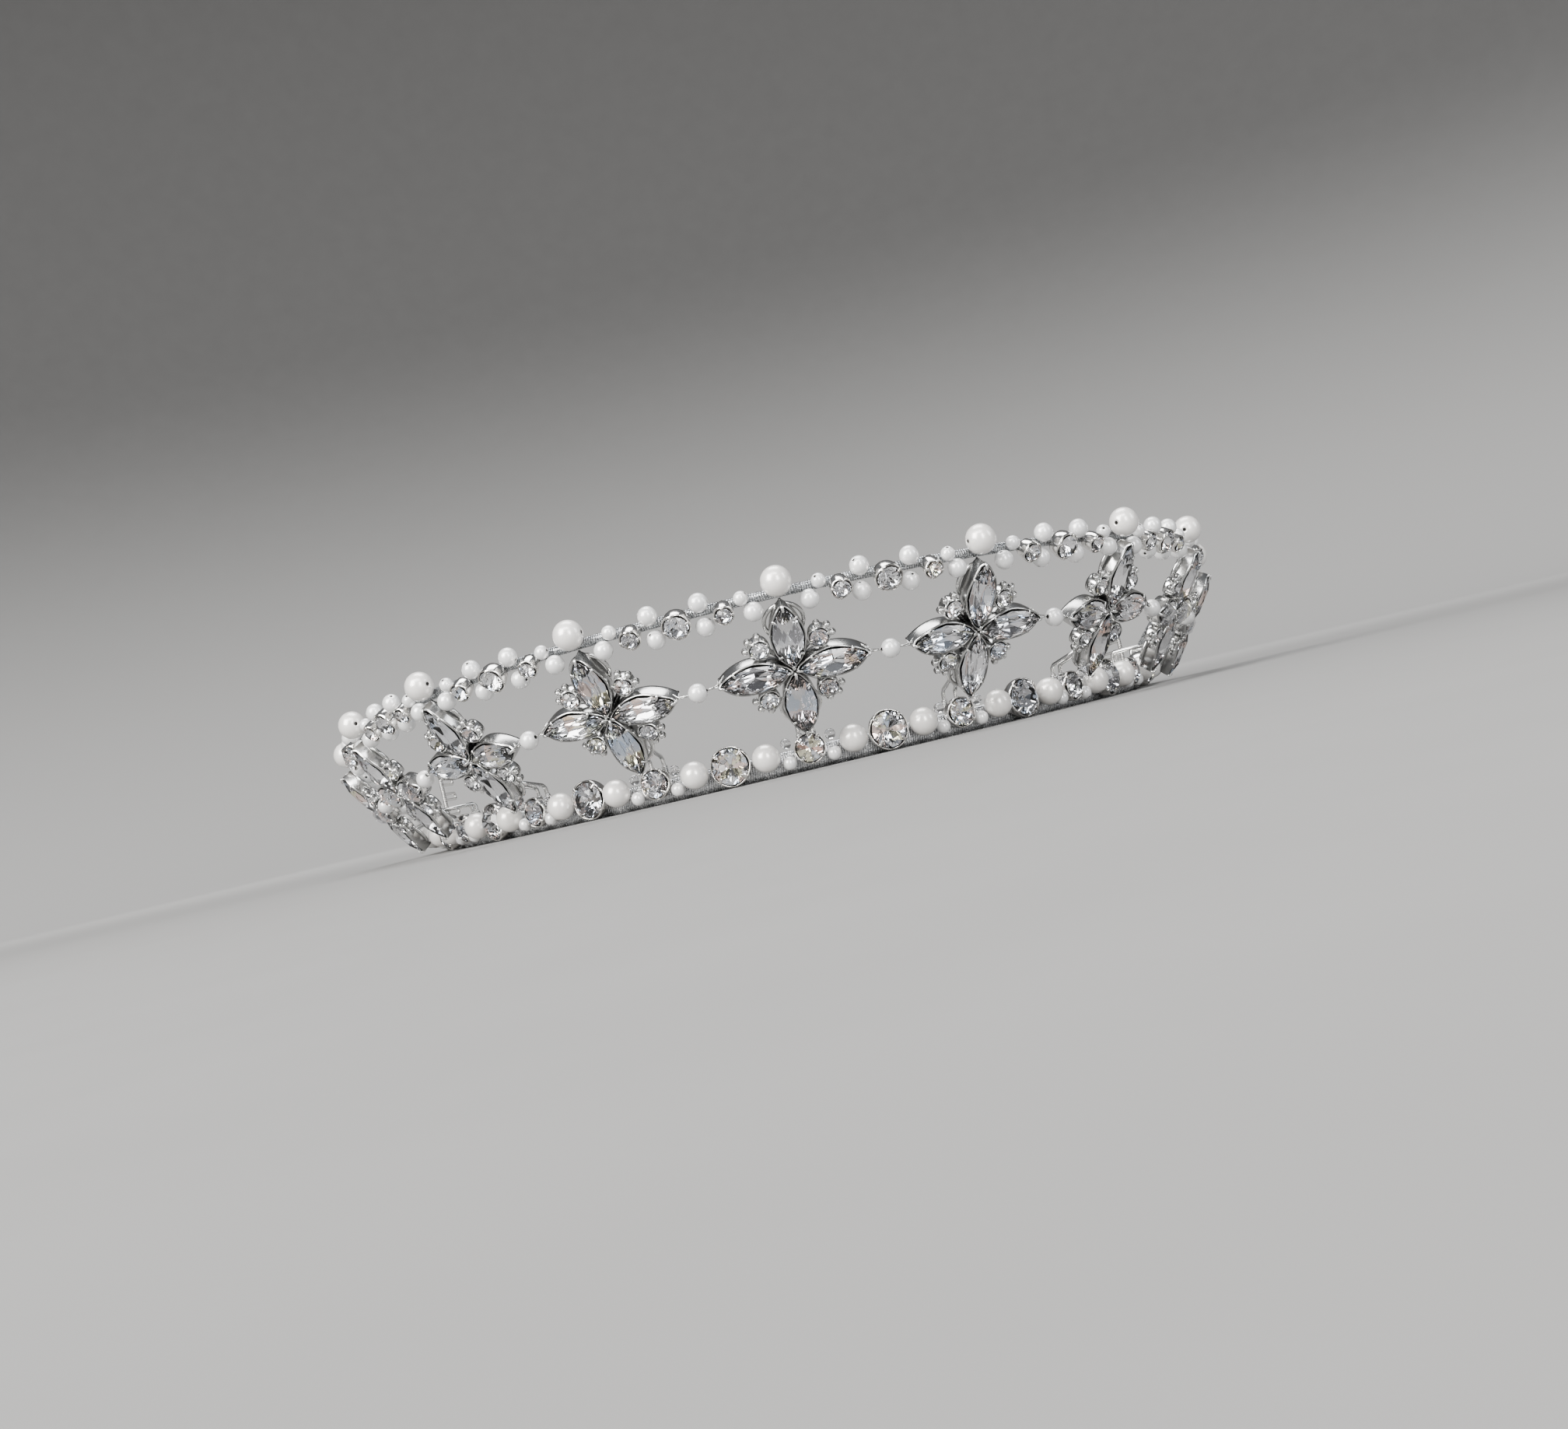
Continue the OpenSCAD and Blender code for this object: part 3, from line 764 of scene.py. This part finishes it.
rimStones.cast("rimStones", ["glass", "foil"], "rim_crystals", "crystal")

for k, s in enumerate(stems):
    pearl = Mould()
    place = wallPlace(s, pearlLine(s), tiara["pearlOut"]) @ turned(90, "Y")   # the bore runs along the rim
    part, soot = bead(tiara["rimPearl"], row["hole"], row["pearlSides"], row["pearlRings"])
    pearl.add(part, place, soot=soot, chance=dice.random() * rim["variety"])
    pearl.cast(f"rimPearl{k + 1}", ["pearl"], f"rim_pearl_{k + 1}", "pearl")
print("rim beads made")

# The flowers' almond settings and stones
petalForm = {
    "length": 15.3, "width": 7.2, "height": 3.6, "around": 64, "wall": 0.32,
    "waves": 3, "topDip": 0.42, "tipFrom": 0.93, "tipSpan": 0.07, "tipRise": 0.16,
    "belly": 0.25, "bellyRise": 1.4, "soot": 0.35, "paintedShadeShare": 0.5,
    "floorInset": 0.5, "floor": (0.12, 0.5), "floorSides": 24, "floorPaintedShade": (0.12, 0.95),
    "clawsAt": (60, 120, 240, 300), "clawSlant": 0.35, "clawSteps": 6, "clawInset": 0.12, "clawReach": 0.8,
    "clawRoot": 0.5, "clawRise": 0.6, "clawFold": 0.4, "clawLevel": 0.2, "clawSlope": 0.45,
    "clawWidth": 0.36, "clawTaper": 0.12, "clawFlat": 0.55,
    "tipClaw": [(0, -0.7, 0.36), (0, 0, 0.36), (0.25, 0.3, 0.34), (0.8, 0.55, 0.3), (1.15, 0.66, 0.2)],
    "tipClawInset": 0.1, "tipClawFlat": 0.6,   # its rows are way in, height over the wall and half width
    "stoneCrown": 0.165, "stoneDeep": 2.6, "stoneTable": 0.5, "stoneKeel": 0.42,
}


def sideClaw(x, y):
    # a claw on a long side of the wall, at x, y
    p = petalForm
    way = Vector((x * p["clawSlant"], y, 0)).normalized()
    fold, path, width = p["clawFold"], [], []
    for t in np.linspace(0, 1, p["clawSteps"]):
        inward = p["clawReach"] * max(0, t - fold) / (1 - fold)
        up = p["clawRise"] * min(1, t / fold)
        over = max(0, inward - p["clawLevel"]) * p["clawSlope"]
        reach = p["clawInset"] + inward
        path.append((x - way.x * reach, y - way.y * reach, p["height"] - p["clawRoot"] + up + over))
        width.append(p["clawWidth"] - p["clawTaper"] * t)
    return sweep(path, width, cupForm["prongSides"], (-way.y, way.x, 0), p["clawFlat"])


def petalCup(mould, place):
    # an almond wall with a point at each tip, a floor, two claws on each long side and one at each tip
    p = petalForm
    count, h, sides = p["around"], p["height"], p["floorSides"]
    edge = almondOutline(p["length"], p["width"], 0.0)
    loop = [edge(2 * math.pi * i / count) for i in range(count)]

    def outline(i):
        (x0, y0), (x, y), (x1, y1) = loop[i - 1], loop[i], loop[(i + 1) % count]
        n = math.hypot(x1 - x0, y1 - y0)
        return x, y, (y1 - y0) / n, -(x1 - x0) / n

    def low(i):
        return 0.0

    def high(i):
        wave = abs(math.cos(p["waves"] * 2 * math.pi * i / count))
        tip = max(0, abs(math.cos(2 * math.pi * i / count)) - p["tipFrom"]) / p["tipSpan"]
        return h - p["topDip"] * (1 - wave) + p["tipRise"] * tip

    def belly(t):
        return -p["belly"] * (1 - min(1, t * p["bellyRise"])) ** 2

    part, soot = wallRing(count, outline, h, low, high, p["wall"], belly)
    # painted shade over the whole wall, more towards the foot and inside
    mould.add(part, place, soot=[p["soot"] + p["paintedShadeShare"] * v for v in soot])
    inner = almondOutline(p["length"], p["width"], p["floorInset"])
    floor = [inner(2 * math.pi * i / sides) for i in range(sides)]
    points = [(x, y, z) for z in p["floor"] for x, y in floor]
    faces = capped([list(range(sides)), list(range(sides, 2 * sides))])
    # the floor is painted dark as shade, most on its top face under the stone; the claws get a little painted
    # shade
    mould.add((points, faces), place, smooth=False, soot=np.repeat(p["floorPaintedShade"], sides))
    for turn in p["clawsAt"]:
        mould.add(sideClaw(*edge(math.radians(turn))), place, soot=0.05)
    for side in (-1, 1):
        x = side * (edge(0)[0] - p["tipClawInset"])
        path = [(x - side * inward, 0, h + up) for inward, up, _ in p["tipClaw"]]
        width = [half for _, _, half in p["tipClaw"]]
        mould.add(sweep(path, width, cupForm["prongSides"], (0, 1, 0), p["tipClawFlat"]), place, soot=0.05)


def petalStone():
    p = petalForm
    outline = almondOutline(p["length"], p["width"], stoneCut["wallGap"])
    return cutStone(outline, p["width"] * p["stoneCrown"], p["stoneDeep"], p["stoneTable"], p["stoneKeel"])


# The flowers
flower = {
    # height on the wall, lift from it and size, from the middle flower out
    "rows": [(24.9, 1.3, 1), (24.3, 1.3, 1), (23.0, 2.0, 1), (20.2, 3.2, 0.95), (16.8, 4.4, 0.85)],
    "petalTurns": (0, 90, 180, 270), "petalGap": 0.35,
    "budTurns": (45, 135, 225, 315), "budCup": 4.6, "budMiddle": 8.6, "budDrop": 0.6, "budFine": 0.7,
    "spokeFrom": 0.5, "spokeShort": 1.0, "spokeUp": 0.35, "spokeHalf": 0.6, "spokeFlat": 0.42, "wireSides": 8,
    "dotTurns": (-45, 0, 45), "dotOut": 0.5, "dotDrop": 1.0, "dot": 1.29, "dotUp": 0.12,
    "dotSides": 16, "dotRings": 9,
    "collar": [(0.35, -0.9), (0.72, -0.5), (0.78, -0.05), (0.72, 0.1), (0.55, 0.0), (0.35, -0.5)],
    "armLength": 0.9, "armDrop": 0.8, "armHalf": 0.3, "armFlat": 0.8,
    "plate": (2.4, 0.05, 0.5, 0.55, 0.2, 0.95),
    "loop": 4.0, "loopMiddle": 10.1, "loopUp": 0.2, "loopWire": 0.9, "loopSteps": 40, "loopDent": 0.12,
    "legSides": 10, "legApart": 1.5, "footOut": 0.1, "kneeOut": 0.6, "kneeUp": 7.2,
    "topDrop": 9.5, "topLift": 0.2,
    "bindFrom": 0.15, "bindTurns": 5, "bindOut": 0.1, "bindWire": 0.24, "bindTurn": 0.32,
}
petalMiddle = petalForm["length"] / 2 + flower["petalGap"]


def flowerSeat(k):
    return stems[k], *flower["rows"][abs(k - sideFlowers)]


def wireLoop():
    f = flower
    r, steps = f["loop"], f["loopSteps"]
    path = []
    for i in range(steps):
        a = 2 * math.pi * i / steps
        path.append((r * math.cos(a), r * math.sin(a), f["loopDent"] * math.sin(3 * a)))
    return sweep(path, f["loopWire"] / 2, f["legSides"], (0, 0, 1), closed=True)


def addPetals(mount, stones, place):
    f = flower
    for turn in f["petalTurns"]:
        petal = place @ spin(turn) @ shift(petalMiddle, 0, 0)
        petalCup(mount, petal)
        setStone(stones, petalStone(), petal @ shift(0, 0, petalForm["height"]))


def addDot(mount, place):
    # a bright ball in a collar, on an arm from its cup; collar and arm are painted dark as shade
    f = flower
    mount.add(ball(f["dot"], f["dotSides"], f["dotRings"]), place @ shift(0, 0, f["dotUp"]))
    mount.add(lathe(f["collar"], f["dotSides"], True), place, soot=0.75)
    ends = [(-f["armLength"], 0, -f["armDrop"]), (0, 0, -f["armDrop"])]
    mount.add(sweep(ends, f["armHalf"], f["wireSides"], (0, 1, 0), f["armFlat"]), place, soot=0.5)


def addBuds(mount, stones, place):
    # the four round cups between the petals, each with its spoke and three dots
    f = flower
    d, height, up = f["budCup"], petalForm["height"] - f["budDrop"], f["spokeUp"]
    for turn in f["budTurns"]:
        bud = place @ spin(turn) @ shift(f["budMiddle"], 0, 0)
        roundCup(mount, bud @ spin(dice.uniform(0, 90)), d, height, False, f["budFine"])
        setStone(stones, chaton(d, height), bud @ shift(0, 0, height) @ spin(dice.uniform(0, 45)))
        ends = [(f["spokeFrom"], 0, up), (f["budMiddle"] - f["spokeShort"], 0, up)]
        spoke = sweep(ends, f["spokeHalf"], f["wireSides"], (0, 1, 0), f["spokeFlat"])
        # the spoke is painted dark as shade
        mount.add(spoke, place @ spin(turn), soot=0.7)
        for dotTurn in f["dotTurns"]:
            addDot(mount, bud @ spin(dotTurn) @ shift(d / 2 + f["dotOut"], 0, height - f["dotDrop"]))


def addLegs(mount, k):
    # two wires from the band up to the lowest petal, bound with fine wire over the band
    f = flower
    s, height, lift, size = flowerSeat(k)
    wire = f["loopWire"] / 2
    for side in (-1, 1):
        move = onward(headingAndSpot(s)[0]) * side * f["legApart"]
        foot = bandPoint(s, f["footOut"], tiara["bandWidth"] / 2 + wire + air) + move
        knee = bandPoint(s, f["kneeOut"], f["kneeUp"]) + move
        top = wallPoint(s, height - f["topDrop"] * size, lift + f["topLift"]) + move
        path = [foot, foot.lerp(knee, 0.6), knee.lerp(foot, 0.12)]
        path += [knee.lerp(top, 0.06), knee.lerp(top, 0.5), top]
        # the legs carry a little painted shade, and the binding wire less
        mount.add(sweep(path, wire, f["legSides"]), settle, soot=0.2)
        start = foot.lerp(knee, f["bindFrom"])
        wound = coil(start, knee - foot, (1, 0, 0), f["bindTurns"], wire + f["bindOut"],
                     f["bindWire"], f["bindTurn"])
        mount.add(wound, settle, soot=0.1)


for k in range(len(stems)):
    s, height, lift, size = flowerSeat(k)
    place = wallPlace(s, height, lift) @ Matrix.Scale(size, 4)
    mount, stones = Mould(), Mould()
    addPetals(mount, stones, place)
    addBuds(mount, stones, place)
    addPlate(mount, place, *flower["plate"])
    for side in (-1, 1):
        # the wire loops carry a little painted shade
        mount.add(wireLoop(), place @ shift(0, side * flower["loopMiddle"], flower["loopUp"]), soot=0.15)
    addLegs(mount, k)
    mount.cast(f"flowerMount{k + 1}", ["flowerMetal"], f"flower_mount_{k + 1}", "flower_metal")
    stones.cast(f"flowerStones{k + 1}", ["glass", "foil"], f"flower_stones_{k + 1}", "crystal")
print("flowers made")

# Pearls and wires between the flowers; each wire runs from its anchor over a bend into the pearl's bore
link = {
    "pearl": 4.0, "hole": 0.8, "sides": 30, "rings": 18, "tipUp": 0.75,
    "wire": 0.32, "wireSides": 6, "inBore": 0.5, "sag": 0.1,
    "anchorBack": 1.6, "anchorApart": 1.15, "anchorDrop": 1.5,
    "bendOn": 0.2, "bendApart": 0.2, "bendDrop": 0.25,
}


def petalTip(k, side):
    s, height, lift, size = flowerSeat(k)
    reach = (petalMiddle + petalForm["length"] / 2) * size
    tip = wallPoint(s, height, lift + petalForm["height"] * link["tipUp"] * size)
    return tip + onward(headingAndSpot(s)[0]) * side * reach


linkPearls, linkWires = Mould(), Mould()
for k, b in enumerate(bays):
    start, end = petalTip(k, 1), petalTip(k + 1, -1)
    along = (end - start).normalized()
    middle = (start + end) / 2
    face = facing((k - sideFlowers + 0.5) * pitch)
    across = along.cross(face).normalized()
    part, soot = bead(link["pearl"], link["hole"], link["sides"], link["rings"])
    aim = Vector((0, 0, 1)).rotation_difference(along).to_matrix().to_4x4()
    linkPearls.add(part, settle @ Matrix.Translation(middle) @ aim, soot=soot, chance=dice.random())
    for tip, way in ((start, 1), (end, -1)):
        hole = middle - along * way * (link["pearl"] / 2 - link["inBore"])
        for side in (-1, 1):
            anchor = tip - along * way * link["anchorBack"] + across * side * link["anchorApart"]
            anchor -= face * link["anchorDrop"]
            bend = tip + across * side * link["bendApart"] - face * link["bendDrop"]
            bend += along * way * link["bendOn"]
            path = [anchor, anchor.lerp(bend, 0.5) - face * link["sag"], bend, bend.lerp(hole, 0.5), hole]
            # the wires carry a little painted shade
            linkWires.add(sweep(path, link["wire"] / 2, link["wireSides"]), settle, soot=0.1)
linkPearls.cast("linkPearls", ["smallPearl"], "link_pearls", "pearl")
linkWires.cast("linkWires", ["flowerMetal"], "link_wires", "fine_wire")
print("links made")

# The headband, wound with thread
winding = {
    "turn": 0.5, "rows": 4, "edgeSteps": 6, "bulge": 0.13, "hump": 0.7, "lean": 0.35,
    "swell": (0.75, 1.0), "slip": (-0.06, 0.06), "soot": 0.75, "paintedShadePower": 1.5,
}


def woundBand():
    # each turn of thread is a hump, with painted shade in the groove on either side
    w = winding
    half = tiara["reach"]
    turns = int(2 * half / w["turn"])
    rows = turns * w["rows"]
    r = tiara["bandThick"] / 2
    halfWidth = tiara["bandWidth"] / 2
    core = halfWidth - r   # half the flat part of the strip
    steps = w["edgeSteps"]
    section = []
    for end in (-1, 1):
        for i in range(steps + 1):
            a = math.pi * i / steps
            section.append((-end * math.cos(a), end * (core + math.sin(a) * r), end * math.sin(a)))
    points, soot = [], []
    swell = [dice.uniform(*w["swell"]) for _ in range(turns + 2)]
    slip = [dice.uniform(*w["slip"]) for _ in range(turns + 2)]
    for j in range(rows + 1):
        share = j / w["rows"]
        n = int(share)
        hump = abs(math.sin(math.pi * share)) ** w["hump"]
        drop = w["bulge"] * (1 - hump * swell[n])
        middle = -half + 2 * half * j / rows
        for out, up, edge in section:
            lean = w["lean"] * up / halfWidth * (1 if out >= 0 else -1)
            s = max(-half, min(half, middle + lean + slip[n]))
            points.append(tuple(bandPoint(s, out * (r - drop), up - edge * drop)))
            soot.append(w["soot"] * (1 - hump) ** w["paintedShadePower"])
    count = len(section)
    rings = [list(range(j * count, (j + 1) * count)) for j in range(rows + 1)]
    return (points, capped(rings)), soot


band = Mould()
part, soot = woundBand()
band.add(part, settle, soot=soot, chance=0.5)
band.cast("woundBand", ["bandThread"], "base_band", "wrapped_band")
print("band wound")

# The rim wire, wound with grey thread
rimWinding = {
    "turn": 0.52, "rows": 4, "sides": 12, "samples": 400, "bulge": 0.14, "hump": 0.7,
    "swell": (0.8, 1.0), "soot": 0.7, "paintedShadePower": 1.5,
}


def woundRim():
    w = rimWinding
    end, count = tiara["rimLanding"], w["samples"]
    samples = [rimPoint(-end + 2 * end * i / count) for i in range(count + 1)]
    lengths = np.concatenate([[0], np.cumsum([(b - a).length for a, b in zip(samples, samples[1:])])])
    turns = int(lengths[-1] / w["turn"])
    rows = turns * w["rows"]
    spots = np.linspace(0, lengths[-1], rows + 1)
    path = np.stack([np.interp(spots, lengths, [p[i] for p in samples]) for i in range(3)], 1)
    share = np.arange(rows + 1) / w["rows"]
    hump = np.abs(np.sin(np.pi * share)) ** w["hump"]
    swell = np.array([dice.uniform(*w["swell"]) for _ in range(turns + 2)])[share.astype(int)]
    radius = tiara["rimWire"] / 2 - w["bulge"] * (1 - hump * swell)
    # painted shade in the grooves between the turns of thread
    soot = np.repeat(w["soot"] * (1 - hump) ** w["paintedShadePower"], w["sides"])
    return sweep(path, radius, w["sides"], (0, 0, 1)), soot


wire = Mould()
part, soot = woundRim()
wire.add(part, settle, soot=soot, chance=0.5)
wire.cast("woundRim", ["rimThread"], "rim_wire", "wrapped_wire")
print("rim wound")

# The combs inside the two tips
comb = {
    "barInset": 0.22, "barSides": 12, "bindTurn": 0.36, "bindWire": 0.3, "bindShort": 0.2,
    "toothSteps": 14, "loopSteps": 11, "toothSides": 10,
}


def toothPath(i):
    # out along one wire, round the loop and back, in the comb's own place
    gap, half, bend = tiara["toothGap"], tiara["toothHalf"], tiara["toothBend"]
    up = (i - (tiara["teeth"] - 1) / 2) * gap
    turn = tiara["toothLength"] / bend
    outer = []
    for t in np.linspace(0, 1, comb["toothSteps"]):
        outer.append((bend * math.sin(turn * t), half, -bend * (1 - math.cos(turn * t))))
    tip = outer[-1]
    loop = []
    for a in np.linspace(0, math.pi, comb["loopSteps"])[1:-1]:
        ahead = half * math.sin(a)
        loop.append((tip[0] + ahead * math.cos(turn), half * math.cos(a), tip[2] - ahead * math.sin(turn)))
    back = [(x, -half, z) for x, _, z in reversed(outer)]
    return [(x, y + up, z) for x, y, z in outer + loop + back]


def makeComb(name, node, side):
    wires = Mould()
    inset = -tiara["bandThick"] / 2 - air - tiara["combBar"] / 2
    half = (tiara["teeth"] - 1) / 2 * tiara["toothGap"] + tiara["toothHalf"]
    rise = half + tiara["toothWire"] / 2 - tiara["bandWidth"] / 2 + air
    place = bandPlace(side * tiara["combAt"], inset, rise)
    if side < 0:
        place = place @ Matrix.Scale(-1, 4, (1, 0, 0))
    barRadius = tiara["combBar"] / 2 - comb["barInset"]
    # the bar carries painted shade
    wires.add(sweep([(0, -half, 0), (0, half, 0)], barRadius, comb["barSides"], (1, 0, 0)), place, soot=0.4)
    bound = half - comb["bindShort"]
    turns = int(2 * bound / comb["bindTurn"])
    radius = tiara["combBar"] / 2 - comb["bindWire"] / 2
    wound = coil((0, -bound, 0), (0, 1, 0), (1, 0, 0), turns, radius, comb["bindWire"], comb["bindTurn"])
    wires.add(wound, place)
    for i in range(tiara["teeth"]):
        wires.add(sweep(toothPath(i), tiara["toothWire"] / 2, comb["toothSides"], (0, 0, 1)), place)
    wires.cast(name, ["combMetal"], node, "comb_wire")


makeComb("combLeft", "comb_left", -1)
makeComb("combRight", "comb_right", 1)
print("combs made")

# Floor, light and camera
studio = {
    "floorRadius": 0.9, "wallRadius": 1.7, "wallHeight": 1.2, "curveSteps": 16, "sides": 96,
    # the near tone is painted shade and the far tone is painted light, to even out the lamps' falloff
    "nearPaintedShadeTone": 0.19, "farPaintedLightTone": 0.56, "topTone": 0.15, "fadeTop": 0.5, "tint": (1.0, 0.99, 0.975),
    "grainScale": 60.0, "grain": rgb(0.5, 0.5, 0.5), "grainShare": 0.05,
    "rough": 0.75, "roughSpread": 0.1, "gloss": 0.2,
    "air": rgb(0.72, 0.74, 0.78), "airStrength": 0.24,
}
lamps = [   # name, spot, aim, width, height, power and colour
    ("windowLeft", (-0.75, -0.70, 0.62), (0, -0.03, 0.02), 0.6, 0.75, 36, (1.0, 0.985, 0.96)),
    ("fillRight", (0.95, -0.45, 0.45), (0, 0, 0.02), 0.22, 0.6, 3.5, (0.93, 0.96, 1.0)),
    ("overhead", (0.05, 0.25, 1.05), (0, 0.1, 0), 0.7, 0.45, 11, (1, 1, 1)),
    ("frontStrip", (0.24, -1.0, 0.34), (0, 0, 0.02), 0.2, 0.5, 7, (1, 1, 1)),
    ("frontTop", (-0.1, -0.75, 0.95), (0, 0, 0.02), 0.8, 0.28, 9, (1, 1, 1)),
]


def floorFinish():
    # one sheet of paper: painted shade near the tiara and painted light towards the back, to even out the
    # lamps' falloff, then darker up the wall
    s = studio
    f = Finish("paperSweep")
    place = f.place()
    height = f.node("ShaderNodeSeparateXYZ", None, {"Vector": place}, "Z")
    depth = f.node("ShaderNodeSeparateXYZ", None, {"Vector": place}, "Y")
    soft = {"interpolation_type": "SMOOTHSTEP"}
    paintedFalloff = f.node("ShaderNodeMapRange", soft, {"Value": depth, "From Min": 0.0, "From Max": s["floorRadius"]})
    up = f.node("ShaderNodeMapRange", soft, {"Value": height, "From Min": 0.0, "From Max": s["fadeTop"]})
    near, far, top = (rgb(*(s[key] * c for c in s["tint"])) for key in ("nearPaintedShadeTone", "farPaintedLightTone", "topTone"))
    grain = f.noise(s["grainScale"], 3.0)
    paper = f.blend(up, f.blend(paintedFalloff, near, far), top)
    f.set(colour=f.blend(grain * s["grainShare"], paper, s["grain"]),
          rough=s["rough"] + grain * s["roughSpread"], gloss=s["gloss"])
    return f.material


def makeFloor():
    inner, outer, high = studio["floorRadius"], studio["wallRadius"], studio["wallHeight"]
    profile = [(0, 0), (inner * 0.5, 0), (inner, 0)]
    for a in np.linspace(0, math.pi / 2, studio["curveSteps"])[1:]:
        profile.append((inner + (outer - inner) * math.sin(a), (outer - inner) * (1 - math.cos(a))))
    profile.append((outer, high))
    points, faces = lathe(profile, studio["sides"])
    mesh = bpy.data.meshes.new("studioFloor")
    mesh.from_pydata(points, [], [tuple(reversed(face)) for face in faces])
    mesh.polygons.foreach_set("use_smooth", [True] * len(faces))
    mesh.materials.append(floorFinish())
    floor = bpy.data.objects.new("studioFloor", mesh)
    bpy.context.scene.collection.objects.link(floor)


def softBox(name, spot, aim, width, height, power, colour):
    data = bpy.data.lights.new(name, "AREA")
    data.shape, data.size, data.size_y, data.energy, data.color = "RECTANGLE", width, height, power, colour
    lamp = bpy.data.objects.new(name, data)
    bpy.context.scene.collection.objects.link(lamp)
    lamp.location = spot
    lamp.rotation_euler = (Vector(aim) - Vector(spot)).to_track_quat("-Z", "Y").to_euler()


def makeAir():
    world = bpy.data.worlds.new("studioAir")
    world.use_nodes = True
    background = world.node_tree.nodes["Background"]
    background.inputs["Color"].default_value = studio["air"]
    background.inputs["Strength"].default_value = studio["airStrength"]
    bpy.context.scene.world = world


# the photo's camera looks up at the tiara; here it stands just above the floor, as far off and rolled as much
view = {
    "spot": (-0.0192, -0.516, 0.006), "aim": (-0.0035, -0.06, 0.0125), "roll": 13.3,
    "lens": 50.4, "sensor": 36.0, "clipStart": 0.005, "clipEnd": 20.0,
}


def makeCamera():
    data = bpy.data.cameras.new("camera")
    data.lens, data.sensor_width = view["lens"], view["sensor"]
    data.clip_start, data.clip_end = view["clipStart"], view["clipEnd"]
    camera = bpy.data.objects.new("camera", data)
    bpy.context.scene.collection.objects.link(camera)
    camera.location = view["spot"]
    look = (Vector(view["aim"]) - Vector(view["spot"])).to_track_quat("-Z", "Y").to_matrix().to_4x4()
    camera.rotation_mode = "QUATERNION"
    camera.rotation_quaternion = (look @ spin(-view["roll"])).to_quaternion()
    bpy.context.scene.camera = camera


makeFloor()
for lamp in lamps:
    softBox(*lamp)
makeAir()
makeCamera()
print("studio made")
